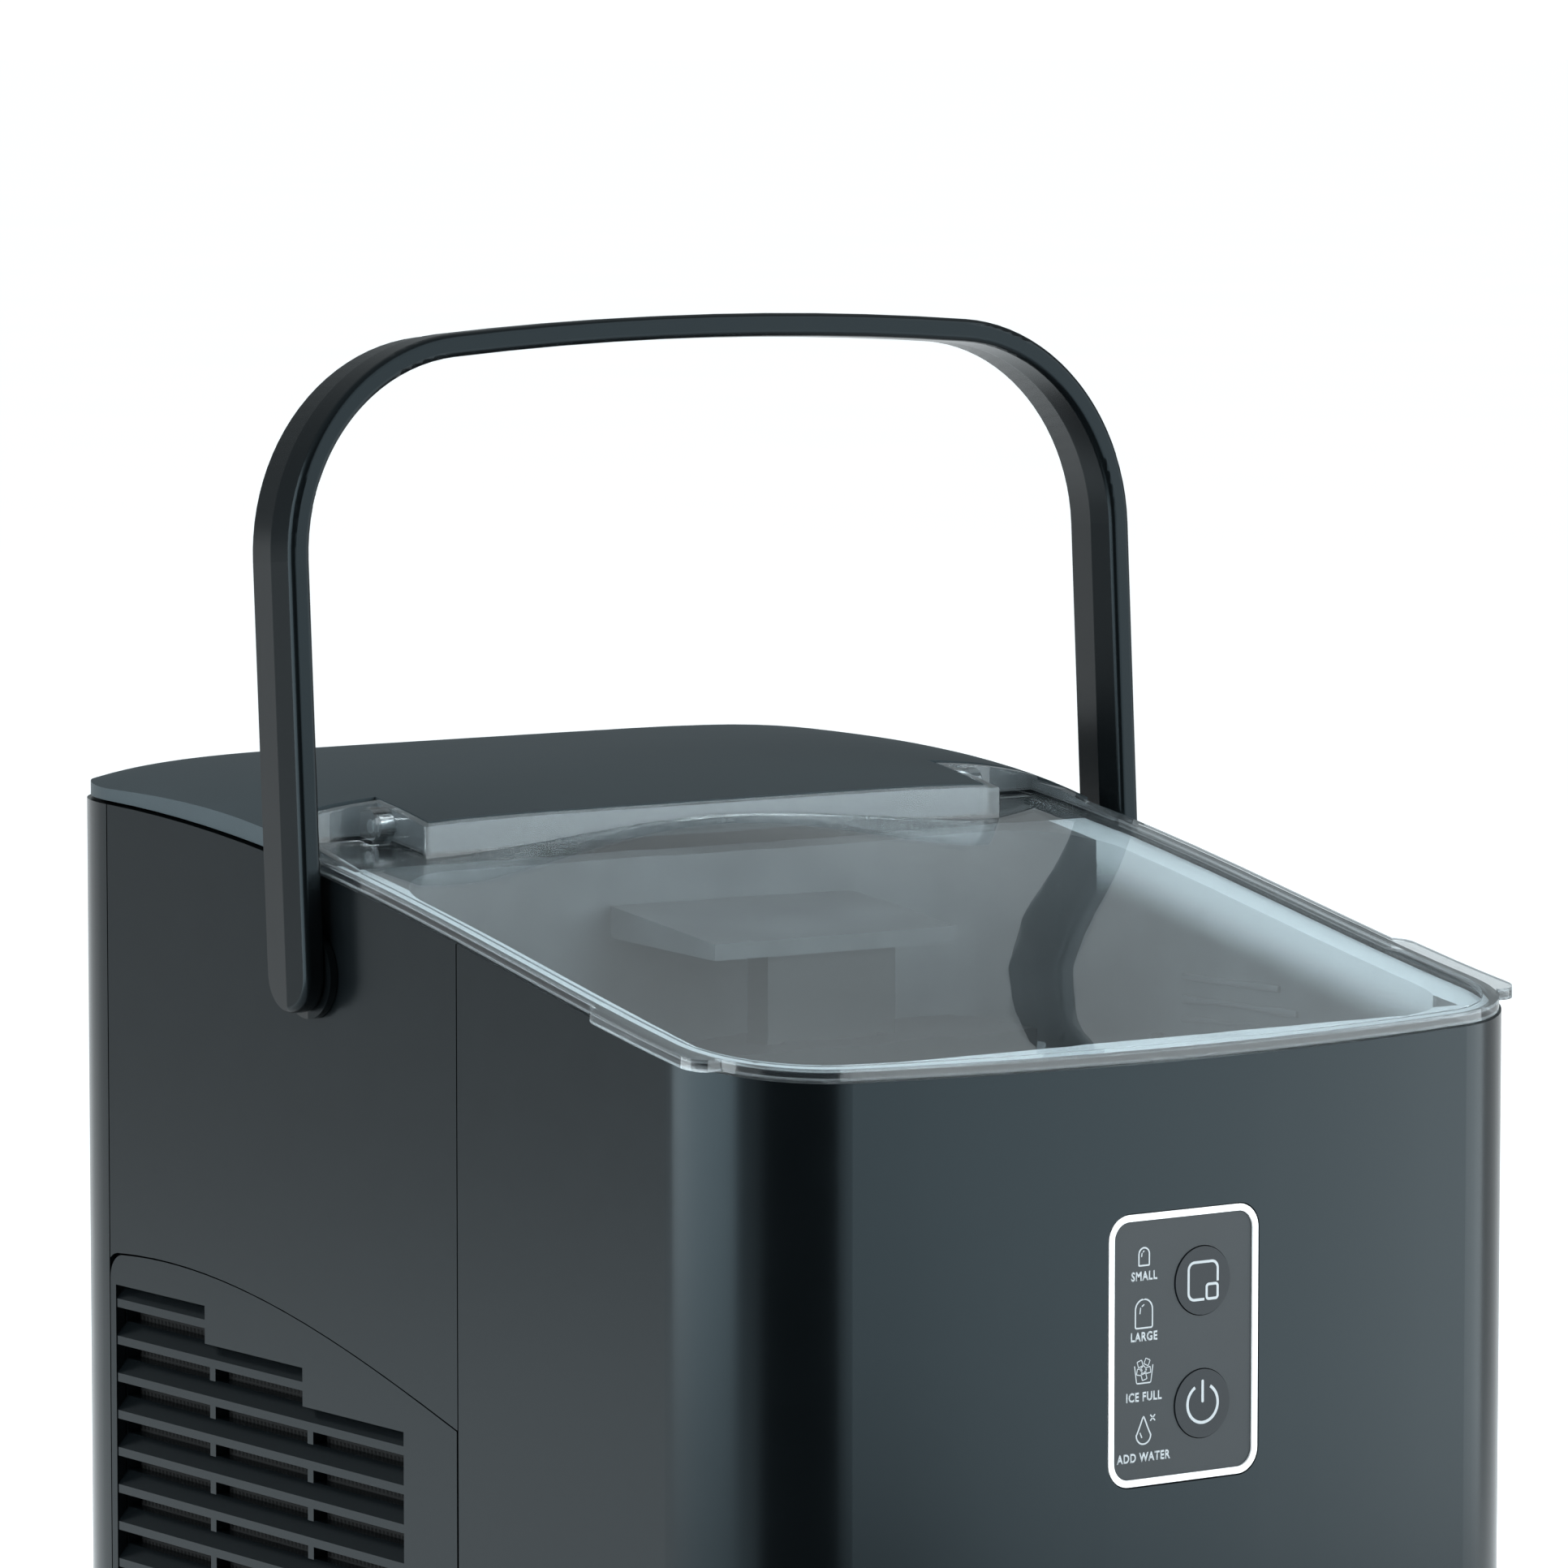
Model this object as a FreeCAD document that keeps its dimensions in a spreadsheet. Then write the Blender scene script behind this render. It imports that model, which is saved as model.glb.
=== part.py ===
import FreeCAD, Part
import Sketcher
import math
import os
import re

# Portable bullet-ice maker. Millimetres, +Z up, front towards -Y, origin on the floor
# at the centre of the footprint. The cabinet is 222 wide, 297 deep and about 301 high.

Vector = FreeCAD.Vector
Rotation = FreeCAD.Rotation
doc = FreeCAD.newDocument("IceMaker")
sheet = doc.addObject("Spreadsheet::Sheet", "sizes")

# alias: (value, what it is)
DRIVING = {
    "bodyWidth": (222, "outside width of the cabinet"),
    "bodyDepth": (297, "outside depth, from the crown of the front to the flat rear"),
    "cornerRadius": (31.4, "upright corners in plan"),
    "bowRadius": (562.4, "front face, bowed in plan"),
    "shellWall": (2.4, "moulded wall of the casings"),
    "shellBottom": (14, "lower edge of the casings"),
    "seamGap": (0.4, "gap along a seam"),
    "frontSeamY": (-31.4, "seam between front shell and side panels"),
    "rearSeamY": (117.1, "seam between side panels and rear shell"),
    "topHeight": (278.9, "casing's top edge at mid depth"),
    "topSlope": (0.186, "its slope there"),
    "topBend": (4.75e-4, "its second-order fall"),
    "topTwist": (2.2e-6, "its third-order fall"),
    "topRise": (6e-9, "its fourth-order rise"),
    "footHeight": (6, "rubber feet"),
    "footRadius": (9, ""),
    "footX": (82, ""),
    "footFrontY": (-108, ""),
    "footRearY": (112, ""),
    "domeTop": (301, "crown of the rear cover"),
    "domeCrownY": (112, "depth at which the cover is highest"),
    "domeFrontFall": (7.4, "fall from the crown to the cover's front edge"),
    "domeRearFall": (6.5, "fall from the crown to its rear edge"),
    "domeSideFall": (6, "fall to its side edges"),
    "coverFrontY": (29.3, "front edge of the rear cover"),
    "coverInset": (0.9, "cover inside the cabinet's outline"),
    "coverWall": (2.2, ""),
    "coverGap": (0.7, "shadow gap under the cover"),
    "earInner": (79.3, "inner end of a lid ear"),
    "earOuter": (108.1, "outer end of a lid ear"),
    "earRearY": (48.6, "rear of a lid ear"),
    "earClearance": (2.8, "room behind an ear for its swing"),
    "lidRearY": (28.3, "rear face of the lid's riser"),
    "lidSheet": (2, "thickness of the clear lid"),
    "lidRise": (1.3, "lid surface above the casing's top edge"),
    "lidCrown": (5.6, "crown of the lid at its rear"),
    "lidCrownHalf": (86, "half width of that crown"),
    "lidRim": (3, "top of the lid's rim above the casing's edge"),
    "lidGap": (0.4, "rim above the casing's edge"),
    "lidAxisY": (43.5, "hinge axis of the lid"),
    "lidAxisZ": (291, ""),
    "pinRadius": (1.6, "lid hinge pins"),
    "runningGap": (0.05, "radial clearance of pins and shafts"),
    "tabReach": (114, "half width over the finger tabs"),
    "tabFrontY": (-126, ""),
    "tabRearY": (-84, ""),
    "handleHalf": (118.5, "half width over the carry handle"),
    "handleBand": (17.2, "width of the handle's band"),
    "handleThick": (5.4, "thickness of its front half"),
    "handleStep": (0.5, "step from its front half to its rear half"),
    "handleRound": (1.5, "rounding of the band's edges"),
    "handleReach": (145.4, "from the pivot to the top of the handle"),
    "handleArch": (937, "radius of the crossbar's arch"),
    "handleBend": (50, "outer radius of the two bends"),
    "handleLean": (3.35, "lean at rest, degrees"),
    "pivotY": (27, "axis of the carry handle"),
    "pivotZ": (260.7, ""),
    "pivotRadius": (4, ""),
    "hubRadius": (10.2, "disc between handle and side panel"),
    "bushingRadius": (7, ""),
    "panelWidth": (41, "over the white ring of the control panel"),
    "panelHeight": (59.3, ""),
    "panelCorner": (5.5, ""),
    "panelCentreZ": (188.85, ""),
    "ringWidth": (1.5, ""),
    "buttonRadius": (7.5, ""),
    "buttonX": (5.3, "buttons to the right of the panel's centre"),
    "sizeButtonZ": (202.5, ""),
    "powerButtonZ": (175.6, ""),
    "buttonGap": (0.2, ""),
    "grilleTopRearZ": (186.6, "top edge of the grille plates, at the rear"),
    "grilleTopMidZ": (176.5, "the same at mid length"),
    "grilleTopFrontZ": (164.8, "the same at the front seam"),
    "grilleMidY": (12.8, ""),
    "grilleBottomZ": (24, ""),
    "louverPitch": (8.8, ""),
    "louverTopZ": (173.7, "lip of the highest louver"),
    "louverRearY": (113.5, ""),
    "louverSplitY": (76, "first upright rib and end of the first louver"),
    "louverStepY": (34, "second upright rib and end of the second louver"),
    "louverFrontY": (-8, "front end of the others"),
    "louverCount": (16, ""),
    "tubHalf": (101, "half width of the ice compartment's tub"),
    "tubFrontY": (-130, ""),
    "tubRearY": (24, ""),
    "tubFloorZ": (92, ""),
    "tubCorner": (24, ""),
    "tubWall": (2, ""),
    "linerDrop": (2, "tub's rim below the casing's edge"),
    "trayAxisY": (-14, "axis of the water tray"),
    "trayAxisZ": (228, ""),
    "trayInner": (30, ""),
    "trayWall": (2.2, ""),
    "trayHalf": (58, ""),
    "fingerRadius": (6.5, "cold fingers that the ice forms on"),
    "fingerPitch": (22, ""),
    "fingerLength": (28, ""),
    "basketHalf": (92, ""),
    "basketFrontY": (-125, ""),
    "basketRearY": (-53, ""),
    "basketBottomZ": (120, ""),
    "basketTopZ": (236, ""),
    "basketWall": (2, ""),
    "compressorX": (30, ""),
    "compressorY": (84, ""),
    "compressorRadius": (48, ""),
    "fanY": (72, ""),
    "fanZ": (88, ""),
    "fanRadius": (36, ""),
    "drainY": (-62, ""),
    "drainZ": (62, ""),
    "drainRadius": (6, ""),
}
for row, (alias, (value, note)) in enumerate(DRIVING.items(), start=1):
    sheet.set("A%d" % row, note or alias)
    sheet.set("B%d" % row, "%.10f" % value)
    sheet.setAlias("B%d" % row, alias)
doc.recompute()

NODES = []


def v(alias):
    """A driving dimension's number, read from the sheet."""
    return float(sheet.get(alias))


def value_of(text):
    """The number that an expression in the aliases stands for, worked out by the sheet."""
    sheet.set("D1", "=" + str(text))
    sheet.recompute()
    return float(sheet.get("D1"))


def ex(text):
    """An expression with the sheet's name put before each alias."""
    return re.sub(r"\b([a-z][A-Za-z]{3,})\b(?!\()", r"sizes.\1", str(text))


def node(piece, name):
    piece.Label = name
    NODES.append(piece)
    return piece


def place(piece, at, axis=None):
    """Put a primitive at expression texts, turned so that its own Z runs along axis."""
    if axis:
        piece.Placement = FreeCAD.Placement(Vector(), Rotation(Vector(0, 0, 1), Vector(*axis)))
    for letter, text in zip("xyz", at):
        piece.setExpression("Placement.Base." + letter, ex(text))
    return piece


def box(name, low, size):
    piece = doc.addObject("Part::Box", name)
    for prop, text in zip(("Length", "Width", "Height"), size):
        piece.setExpression(prop, ex(text))
    return place(piece, low)


def cylinder(name, radius, height, at, axis=None):
    piece = doc.addObject("Part::Cylinder", name)
    piece.setExpression("Radius", ex(radius))
    piece.setExpression("Height", ex(height))
    return place(piece, at, axis)


def cone(name, low_radius, high_radius, height, at, axis=None):
    piece = doc.addObject("Part::Cone", name)
    piece.setExpression("Radius1", ex(low_radius))
    piece.setExpression("Radius2", ex(high_radius))
    piece.setExpression("Height", ex(height))
    return place(piece, at, axis)


def fuse(name, *pieces):
    joined = doc.addObject("Part::MultiFuse", name)
    joined.Shapes = list(pieces)
    return joined


def cut(name, base, *tools):
    made = doc.addObject("Part::Cut", name)
    made.Base = base
    made.Tool = tools[0] if len(tools) == 1 else fuse(name + "_tools", *tools)
    return made


def common(name, *pieces):
    made = doc.addObject("Part::MultiCommon", name)
    made.Shapes = list(pieces)
    return made


def group(name, pieces):
    """Several separate solids in one object."""
    made = doc.addObject("Part::Compound", name)
    made.Links = list(pieces)
    return made


def feature(name, shape):
    made = doc.addObject("Part::Feature", name)
    made.Shape = shape
    return made


# ---------------------------------------------------------------- sketches

def plane_of(body, role):
    return [item for item in body.Origin.OriginFeatures if item.Role == role][0]


def new_sketch(body, name, role="XY_Plane", offset="0"):
    """A sketch on one of the body's own origin planes, moved along its normal."""
    sketch = body.newObject("Sketcher::SketchObject", name)
    sketch.AttachmentSupport = [(plane_of(body, role), "")]
    sketch.MapMode = "FlatFace"
    sketch.setExpression("AttachmentOffset.Base.z", ex(offset))
    return sketch


def pad(body, sketch, length, reverse=False, midplane=False):
    made = body.newObject("PartDesign::Pad", sketch.Name + "_pad")
    made.Profile = sketch
    made.setExpression("Length", ex(length))
    made.Reversed = reverse
    made.Midplane = midplane
    sketch.Visibility = False
    return made


def pocket(body, sketch, length, reverse=False):
    made = body.newObject("PartDesign::Pocket", sketch.Name + "_pocket")
    made.Profile = sketch
    made.setExpression("Length", ex(length))
    made.Reversed = reverse
    return made


def named_dimension(sketch, name, expression, *constraint):
    """A dimension that follows an expression in the sheet's aliases."""
    index = sketch.addConstraint(Sketcher.Constraint(*constraint))
    sketch.renameConstraint(index, name)
    sketch.setExpression("Constraints." + name, ex(expression))


def draw_outline(sketch, inset):
    """The cabinet's plan: flat sides and rear, bowed front, four tangent corners."""
    i = value_of(inset)
    half = v("bodyWidth") / 2 - i
    depth = v("bodyDepth") / 2
    r = v("cornerRadius") - i
    bow = v("bowRadius") - i
    bow_y = v("bowRadius") - depth
    cx = half - r
    rear_y = depth - i - r
    front_y = bow_y - math.sqrt((bow - r) ** 2 - cx ** 2)
    lean = math.atan2(cx, bow_y - front_y)

    def arc(x, y, radius, start, end):
        circle = Part.Circle(Vector(x, y, 0), Vector(0, 0, 1), radius)
        return Part.ArcOfCircle(circle, start, end)

    quarter = math.pi / 2
    front_right = -quarter + lean
    front_left = -quarter - lean
    pieces = [
        Part.LineSegment(Vector(half, front_y, 0), Vector(half, rear_y, 0)),
        arc(cx, rear_y, r, 0, quarter),
        Part.LineSegment(Vector(cx, rear_y + r, 0), Vector(-cx, rear_y + r, 0)),
        arc(-cx, rear_y, r, quarter, 2 * quarter),
        Part.LineSegment(Vector(-half, rear_y, 0), Vector(-half, front_y, 0)),
        arc(-cx, front_y, r, 2 * quarter, 4 * quarter + front_left),
        arc(0, bow_y, bow, front_left, front_right),
        arc(cx, front_y, r, front_right, 0),
    ]
    sketch.addGeometry(pieces, False)
    joints = [(0, 2, 1, 1), (1, 2, 2, 1), (2, 2, 3, 1), (3, 2, 4, 1), (4, 2, 5, 1), (5, 2, 6, 1), (6, 2, 7, 1),
              (7, 2, 0, 1)]
    sketch.addConstraint([Sketcher.Constraint("Tangent", *joint) for joint in joints])
    sketch.addConstraint([
        Sketcher.Constraint("Vertical", 0),
        Sketcher.Constraint("Vertical", 4),
        Sketcher.Constraint("Horizontal", 2),
        Sketcher.Constraint("Equal", 1, 3),
        Sketcher.Constraint("Equal", 1, 5),
        Sketcher.Constraint("Equal", 1, 7),
        Sketcher.Constraint("PointOnObject", 6, 3, -2),
    ])
    named_dimension(sketch, "corner", "cornerRadius - (%s)" % inset, "Radius", 1, r)
    named_dimension(sketch, "right", "bodyWidth / 2 - (%s)" % inset, "DistanceX", -1, 1, 0, 1, half)
    named_dimension(sketch, "left", "bodyWidth / 2 - (%s)" % inset, "DistanceX", 4, 1, -1, 1, half)
    named_dimension(sketch, "rear", "bodyDepth / 2 - (%s)" % inset, "DistanceY", -1, 1, 2, 1, depth - i)
    named_dimension(sketch, "bow", "bowRadius - (%s)" % inset, "Radius", 6, bow)
    named_dimension(sketch, "centre", "bowRadius - bodyDepth / 2", "DistanceY", -1, 1, 6, 3, bow_y)


def draw_rectangle(sketch, low, high, radius="0"):
    """A rectangle with optional round corners; low and high are expression texts."""
    x0, y0, x1, y1 = [value_of(text) for text in (*low, *high)]
    r = value_of(radius)
    if r:
        q = math.pi / 2
        corners = [(x1 - r, y1 - r, 0), (x0 + r, y1 - r, q), (x0 + r, y0 + r, 2 * q), (x1 - r, y0 + r, 3 * q)]
        arcs = [Part.ArcOfCircle(Part.Circle(Vector(x, y, 0), Vector(0, 0, 1), r), a, a + q)
                for x, y, a in corners]
        ends = [(item.StartPoint, item.EndPoint) for item in arcs]
        lines = [Part.LineSegment(ends[k][1], ends[(k + 1) % 4][0]) for k in range(4)]
        loop = [piece for pair in zip(arcs, lines) for piece in pair]
        sketch.addGeometry(loop, False)
        sketch.addConstraint([Sketcher.Constraint("Tangent", k, 2, (k + 1) % 8, 1) for k in range(8)])
        sketch.addConstraint([Sketcher.Constraint("Equal", 0, k) for k in (2, 4, 6)])
        sketch.addConstraint([Sketcher.Constraint("Horizontal", 1), Sketcher.Constraint("Vertical", 3)])
        sketch.addConstraint([Sketcher.Constraint("Horizontal", 5), Sketcher.Constraint("Vertical", 7)])
        named_dimension(sketch, "corner", radius, "Radius", 0, r)
        sides = (("top", "DistanceY", 1, y1, high[1]), ("left", "DistanceX", 3, x0, low[0]),
                 ("bottom", "DistanceY", 5, y0, low[1]), ("right", "DistanceX", 7, x1, high[0]))
    else:
        points = [Vector(x0, y0, 0), Vector(x1, y0, 0), Vector(x1, y1, 0), Vector(x0, y1, 0)]
        sketch.addGeometry([Part.LineSegment(points[k], points[(k + 1) % 4]) for k in range(4)], False)
        sketch.addConstraint([Sketcher.Constraint("Coincident", k, 2, (k + 1) % 4, 1) for k in range(4)])
        sketch.addConstraint([Sketcher.Constraint("Horizontal", 0), Sketcher.Constraint("Vertical", 1)])
        sketch.addConstraint([Sketcher.Constraint("Horizontal", 2), Sketcher.Constraint("Vertical", 3)])
        sides = (("bottom", "DistanceY", 0, y0, low[1]), ("right", "DistanceX", 1, x1, high[0]),
                 ("top", "DistanceY", 2, y1, high[1]), ("left", "DistanceX", 3, x0, low[0]))
    for name, kind, line, value, text in sides:
        named_dimension(sketch, name, text, kind, -1, 1, line, 1, value)


def outline_body(name, inset, bottom, height):
    """A plain body padded from the cabinet's outline."""
    body = doc.addObject("PartDesign::Body", name)
    sketch = new_sketch(body, name + "_plan", offset=bottom)
    draw_outline(sketch, inset)
    pad(body, sketch, height)
    return body


def rounded_body(name, low, high, bottom, height, radius, role="XY_Plane"):
    body = doc.addObject("PartDesign::Body", name)
    sketch = new_sketch(body, name + "_plan", role, bottom)
    draw_rectangle(sketch, low, high, radius)
    pad(body, sketch, height)
    return body


# ---------------------------------------------------------------- curved surfaces

def casing_top(y):
    """Height of the casing's top edge: nearly level at the rear, falling to the front."""
    return (v("topHeight") + v("topSlope") * y - v("topBend") * y ** 2 - v("topTwist") * y ** 3
            + v("topRise") * y ** 4)


def cover_top(x, y):
    """Height of the rear cover's domed surface."""
    ahead = v("domeCrownY") - v("coverFrontY")
    behind = v("bodyDepth") / 2 - v("domeCrownY")
    if y < v("domeCrownY"):
        fall = v("domeFrontFall") * ((v("domeCrownY") - y) / ahead) ** 2.5
    else:
        fall = v("domeRearFall") * ((y - v("domeCrownY")) / behind) ** 4
    return v("domeTop") - fall - v("domeSideFall") * (x / (v("bodyWidth") / 2)) ** 6


def lid_top(x, y):
    """Height of the clear lid's surface: the casing's slope with a crown along the middle."""
    depth = v("bodyDepth") / 2
    crown = v("lidCrown") * (0.18 + 0.82 * max(0, (y + depth) / (v("lidRearY") + depth)) ** 1.3)
    half = v("lidCrownHalf")
    shape = 0.5 + 0.5 * math.cos(math.pi * min(abs(x) / half, 1))
    return casing_top(y) + v("lidRise") + crown * shape


def below_profile(name, shift, rear_y=150, front_y=-155, bottom=-5):
    """Everything under the casing's top edge, moved up by shift."""
    stations = [front_y + (rear_y - front_y) * k / 10 for k in range(11)]
    points = [Vector(-130, y, casing_top(y) + shift) for y in stations]
    curve = Part.BSplineCurve()
    curve.interpolate(points)
    low_front = Vector(-130, front_y, bottom)
    low_rear = Vector(-130, rear_y, bottom)
    wire = Part.Wire([curve.toShape(), Part.makeLine(points[-1], low_rear), Part.makeLine(low_rear, low_front),
                      Part.makeLine(low_front, points[0])])
    return feature(name, Part.Face(wire).extrude(Vector(260, 0, 0)))


def below_surface(name, height_at, y_range, x_half=116, x_steps=16, y_steps=12, shift=0, depth=60):
    """A slab whose upper face follows height_at(x, y)."""
    low, high = y_range
    grid = [[Vector(-x_half + 2 * x_half * i / x_steps, low + (high - low) * j / y_steps,
                    height_at(-x_half + 2 * x_half * i / x_steps, low + (high - low) * j / y_steps) + shift)
             for j in range(y_steps + 1)] for i in range(x_steps + 1)]
    surface = Part.BSplineSurface()
    surface.interpolate(grid)
    return feature(name, surface.toShape().extrude(Vector(0, 0, -depth)))


def prism_along_x(name, points, x, length):
    """A polygon of (y, z) points at x, extruded along X."""
    corners = [Vector(x, y, z) for y, z in points]
    return feature(name, Part.Face(Part.makePolygon(corners + corners[:1])).extrude(Vector(length, 0, 0)))


# ---------------------------------------------------------------- base and casings

def make_base():
    body = outline_body("base_pan", "1", "footHeight", "shellBottom - footHeight - 0.4")
    upstand = new_sketch(body, "upstand", offset="footHeight")
    draw_outline(upstand, "2.7")
    pad(body, upstand, "16")
    hollow = new_sketch(body, "hollow", offset="footHeight + 2.4")
    draw_outline(hollow, "4.9")
    pocket(body, hollow, "20", reverse=True)
    node(body, "base_pan")
    for x_name, x_sign in (("left", "-footX"), ("right", "footX")):
        for y_name, y_text in (("front", "footFrontY"), ("rear", "footRearY")):
            name = "foot_%s_%s" % (y_name, x_name)
            node(cone(name, "footRadius - 1.5", "footRadius", "footHeight", (x_sign, y_text, "0")), name)


def make_shells():
    ring = outline_body("casing_ring", "0", "shellBottom", "300")
    inside = new_sketch(ring, "casing_inside", offset="shellBottom")
    draw_outline(inside, "shellWall")
    pocket(ring, inside, "300", reverse=True)
    under = below_profile("under_top", 0)

    front_zone = box("front_zone", ("-130", "-160", "0"), ("260", "160 + frontSeamY", "320"))
    front = common("front_blank", ring, under, front_zone)
    opening = rounded_body("panel_opening",
                           ("-panelWidth / 2 - 0.3", "panelCentreZ - panelHeight / 2 - 0.3"),
                           ("panelWidth / 2 + 0.3", "panelCentreZ + panelHeight / 2 + 0.3"),
                           "bodyDepth / 2 - 10", "12", "panelCorner + 0.3", "XZ_Plane")
    drain_way = cylinder("drain_way", "drainRadius + 0.4", "30", ("100", "drainY", "drainZ"), (1, 0, 0))
    node(cut("front_shell", front, opening, drain_way), "front_shell")

    rear_zone = box("rear_zone", ("-130", "rearSeamY", "0"), ("260", "60", "320"))
    rear = common("rear_blank", ring, under, rear_zone)
    slots = [box("rear_slot_%d" % k, ("-60", "rearSeamY + 20", "%g" % (44 + 9 * k)), ("120", "20", "3.6"))
             for k in range(12)]
    gland_hole = cylinder("gland_hole", "6.1", "20", ("68", "rearSeamY + 20", "34"), (0, 1, 0))
    node(cut("rear_shell", rear, *slots, gland_hole), "rear_shell")

    for side, sign in (("left", -1), ("right", 1)):
        x_low = "-130" if sign < 0 else "0"
        zone = box(side + "_zone", (x_low, "frontSeamY + seamGap", "0"),
                   ("130", "rearSeamY - frontSeamY - 2 * seamGap", "320"))
        blank = common(side + "_blank", ring, under, zone)
        tools = [cylinder(side + "_pivot_hole", "bushingRadius", "30",
                          ("95 * %d" % sign, "pivotY", "pivotZ"), (sign, 0, 0)),
                 grille_plate(side + "_grille_opening", sign, 0)]
        node(cut(side + "_side_panel", blank, *tools), side + "_side_panel")


def grille_plate(name, sign, gap, depth=8):
    """The vent plate's outline, a box with a curved falling top, as a solid 8 thick."""
    front = v("frontSeamY") + v("seamGap") + gap
    rear = v("rearSeamY") - v("seamGap") + (0 if gap else 2)
    bottom = v("grilleBottomZ") + gap
    corner = 6
    top = v("grilleTopRearZ") - gap
    rear_top = Vector(0, rear, top - corner)
    top_start = Vector(0, rear - corner, top)
    mid = Vector(0, v("grilleMidY"), v("grilleTopMidZ") - gap)
    front_top = Vector(0, front, v("grilleTopFrontZ") - gap)
    shoulder = Vector(0, 70, top - 0.4)
    curve = Part.BSplineCurve()
    curve.interpolate([top_start, shoulder, mid, front_top])
    bend = Vector(0, rear - corner * 0.29, top - corner * 0.29)
    wire = Part.Wire([
        Part.makeLine(Vector(0, front, bottom), Vector(0, rear, bottom)),
        Part.makeLine(Vector(0, rear, bottom), rear_top),
        Part.Arc(rear_top, bend, top_start).toShape(),
        curve.toShape(),
        Part.makeLine(front_top, Vector(0, front, bottom)),
    ])
    solid = Part.Face(wire).extrude(Vector(depth, 0, 0))
    solid.translate(Vector(v("bodyWidth") / 2 - depth / 2 if sign > 0 else -v("bodyWidth") / 2 - depth / 2, 0, 0))
    return feature(name, solid)


def make_grille(side, sign):
    """A plate with a stepped opening, crossed by sloping louvers on two upright ribs."""
    outer = v("bodyWidth") / 2
    wall = v("shellWall")
    plate = common(side + "_grille_blank", grille_plate(side + "_grille_outline", sign, 0.3),
                   box(side + "_grille_skin", ("bodyWidth / 2 * %d - %g" % (sign, wall if sign > 0 else 0), "-60",
                                               "0"), ("shellWall", "200", "300")))
    pitch = v("louverPitch")
    rows = int(v("louverCount"))
    lips = [v("louverTopZ") - pitch * k for k in range(rows)]
    fronts = [v("louverSplitY"), v("louverStepY")] + [v("louverFrontY")] * (rows - 2)
    rear = v("louverRearY")
    openings = []
    slats = []
    for lip, front in zip(lips, fronts):
        openings.append(prism_along_x("row", [(front - 1.2, lip - pitch + 5.2), (rear + 0.8, lip - pitch + 5.2),
                                              (rear + 0.8, lip + 5.3), (front - 1.2, lip + 5.3)],
                                      sign * outer - 10, 20))
        # section of one louver: a lip outside, sloping up and inwards
        section = [(0.2, 0.0), (0.2, 2.0), (3.0, 5.2), (6.4, 5.2), (6.4, 3.6), (3.2, 3.0)]
        corners = [Vector(sign * (outer - x), front - 1.3, lip + z) for x, z in section]
        slat = Part.Face(Part.makePolygon(corners + corners[:1])).extrude(Vector(0, rear - front + 2.2, 0))
        slats.append(feature("slat", slat))
    low = lips[-1] - 4
    inner = outer - 6.4
    ribs = [box("rib", ("%g" % (sign * inner - (0 if sign > 0 else 3.6)), "%g" % y, "%g" % low),
                ("3.6", "2.4", "%g" % (top - low)))
            for y, top in ((v("louverSplitY") - 1.2, lips[1] + 5.2), (v("louverStepY") - 1.2, lips[2] + 5.2),
                           (v("louverFrontY") - 3.4, lips[2] + 5.2), (rear + 0.6, lips[0] + 5.2))]
    window = cut(side + "_grille_window", plate, *openings)
    node(fuse(side + "_grille", window, *slats, *ribs), side + "_grille")


# ---------------------------------------------------------------- rear cover and lid

def notch_tools(sign, grow=0):
    """Space for one lid ear in the rear cover."""
    inner = "earInner - 0.6 - %g" % grow
    width = "earOuter + 0.4 - earInner + 0.6 + %g" % grow
    low_x = inner if sign > 0 else "-(earOuter + 0.4)"
    return box("ear_notch", (low_x, "coverFrontY - 5", "260"),
               (width, "earRearY + earClearance - coverFrontY + 5 + %g" % grow, "60"))


def make_cover():
    plan = outline_body("cover_plan", "coverInset", "270", "45")
    zone = box("cover_zone", ("-130", "coverFrontY", "250"), ("260", "130", "80"))
    dome = below_surface("cover_dome", cover_top, (v("coverFrontY") - 6, v("bodyDepth") / 2 + 4), y_steps=12)
    under = below_profile("cover_seat", v("coverGap"), bottom=200)
    solid = cut("cover_solid", common("cover_blank", plan, zone, dome), under, notch_tools(-1), notch_tools(1))

    hollow_plan = outline_body("cover_hollow_plan", "coverInset + coverWall", "270", "45")
    hollow_zone = box("cover_hollow_zone", ("-130", "coverFrontY + coverWall", "250"), ("260", "130", "80"))
    lowered = below_surface("cover_hollow_dome", cover_top, (v("coverFrontY") - 6, v("bodyDepth") / 2 + 4),
                            shift=-v("coverWall"))
    hollow = cut("cover_hollow", common("cover_hollow_blank", hollow_plan, hollow_zone, lowered),
                 notch_tools(-1, 9), notch_tools(1, 9))
    bores = [cylinder("hinge_bore", "pinRadius", "8.8", ("%d * (earInner - 0.6)" % sign, "lidAxisY", "lidAxisZ"),
                      (-sign, 0, 0)) for sign in (-1, 1)]
    node(cut("rear_cover", solid, hollow, *bores), "rear_cover")
    pins = [cylinder("hinge_pin", "pinRadius", "13.4", ("%d * (earInner - 9)" % sign, "lidAxisY", "lidAxisZ"),
                     (sign, 0, 0)) for sign in (-1, 1)]
    node(group("lid_hinge_pins", pins), "lid_hinge_pins")


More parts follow.
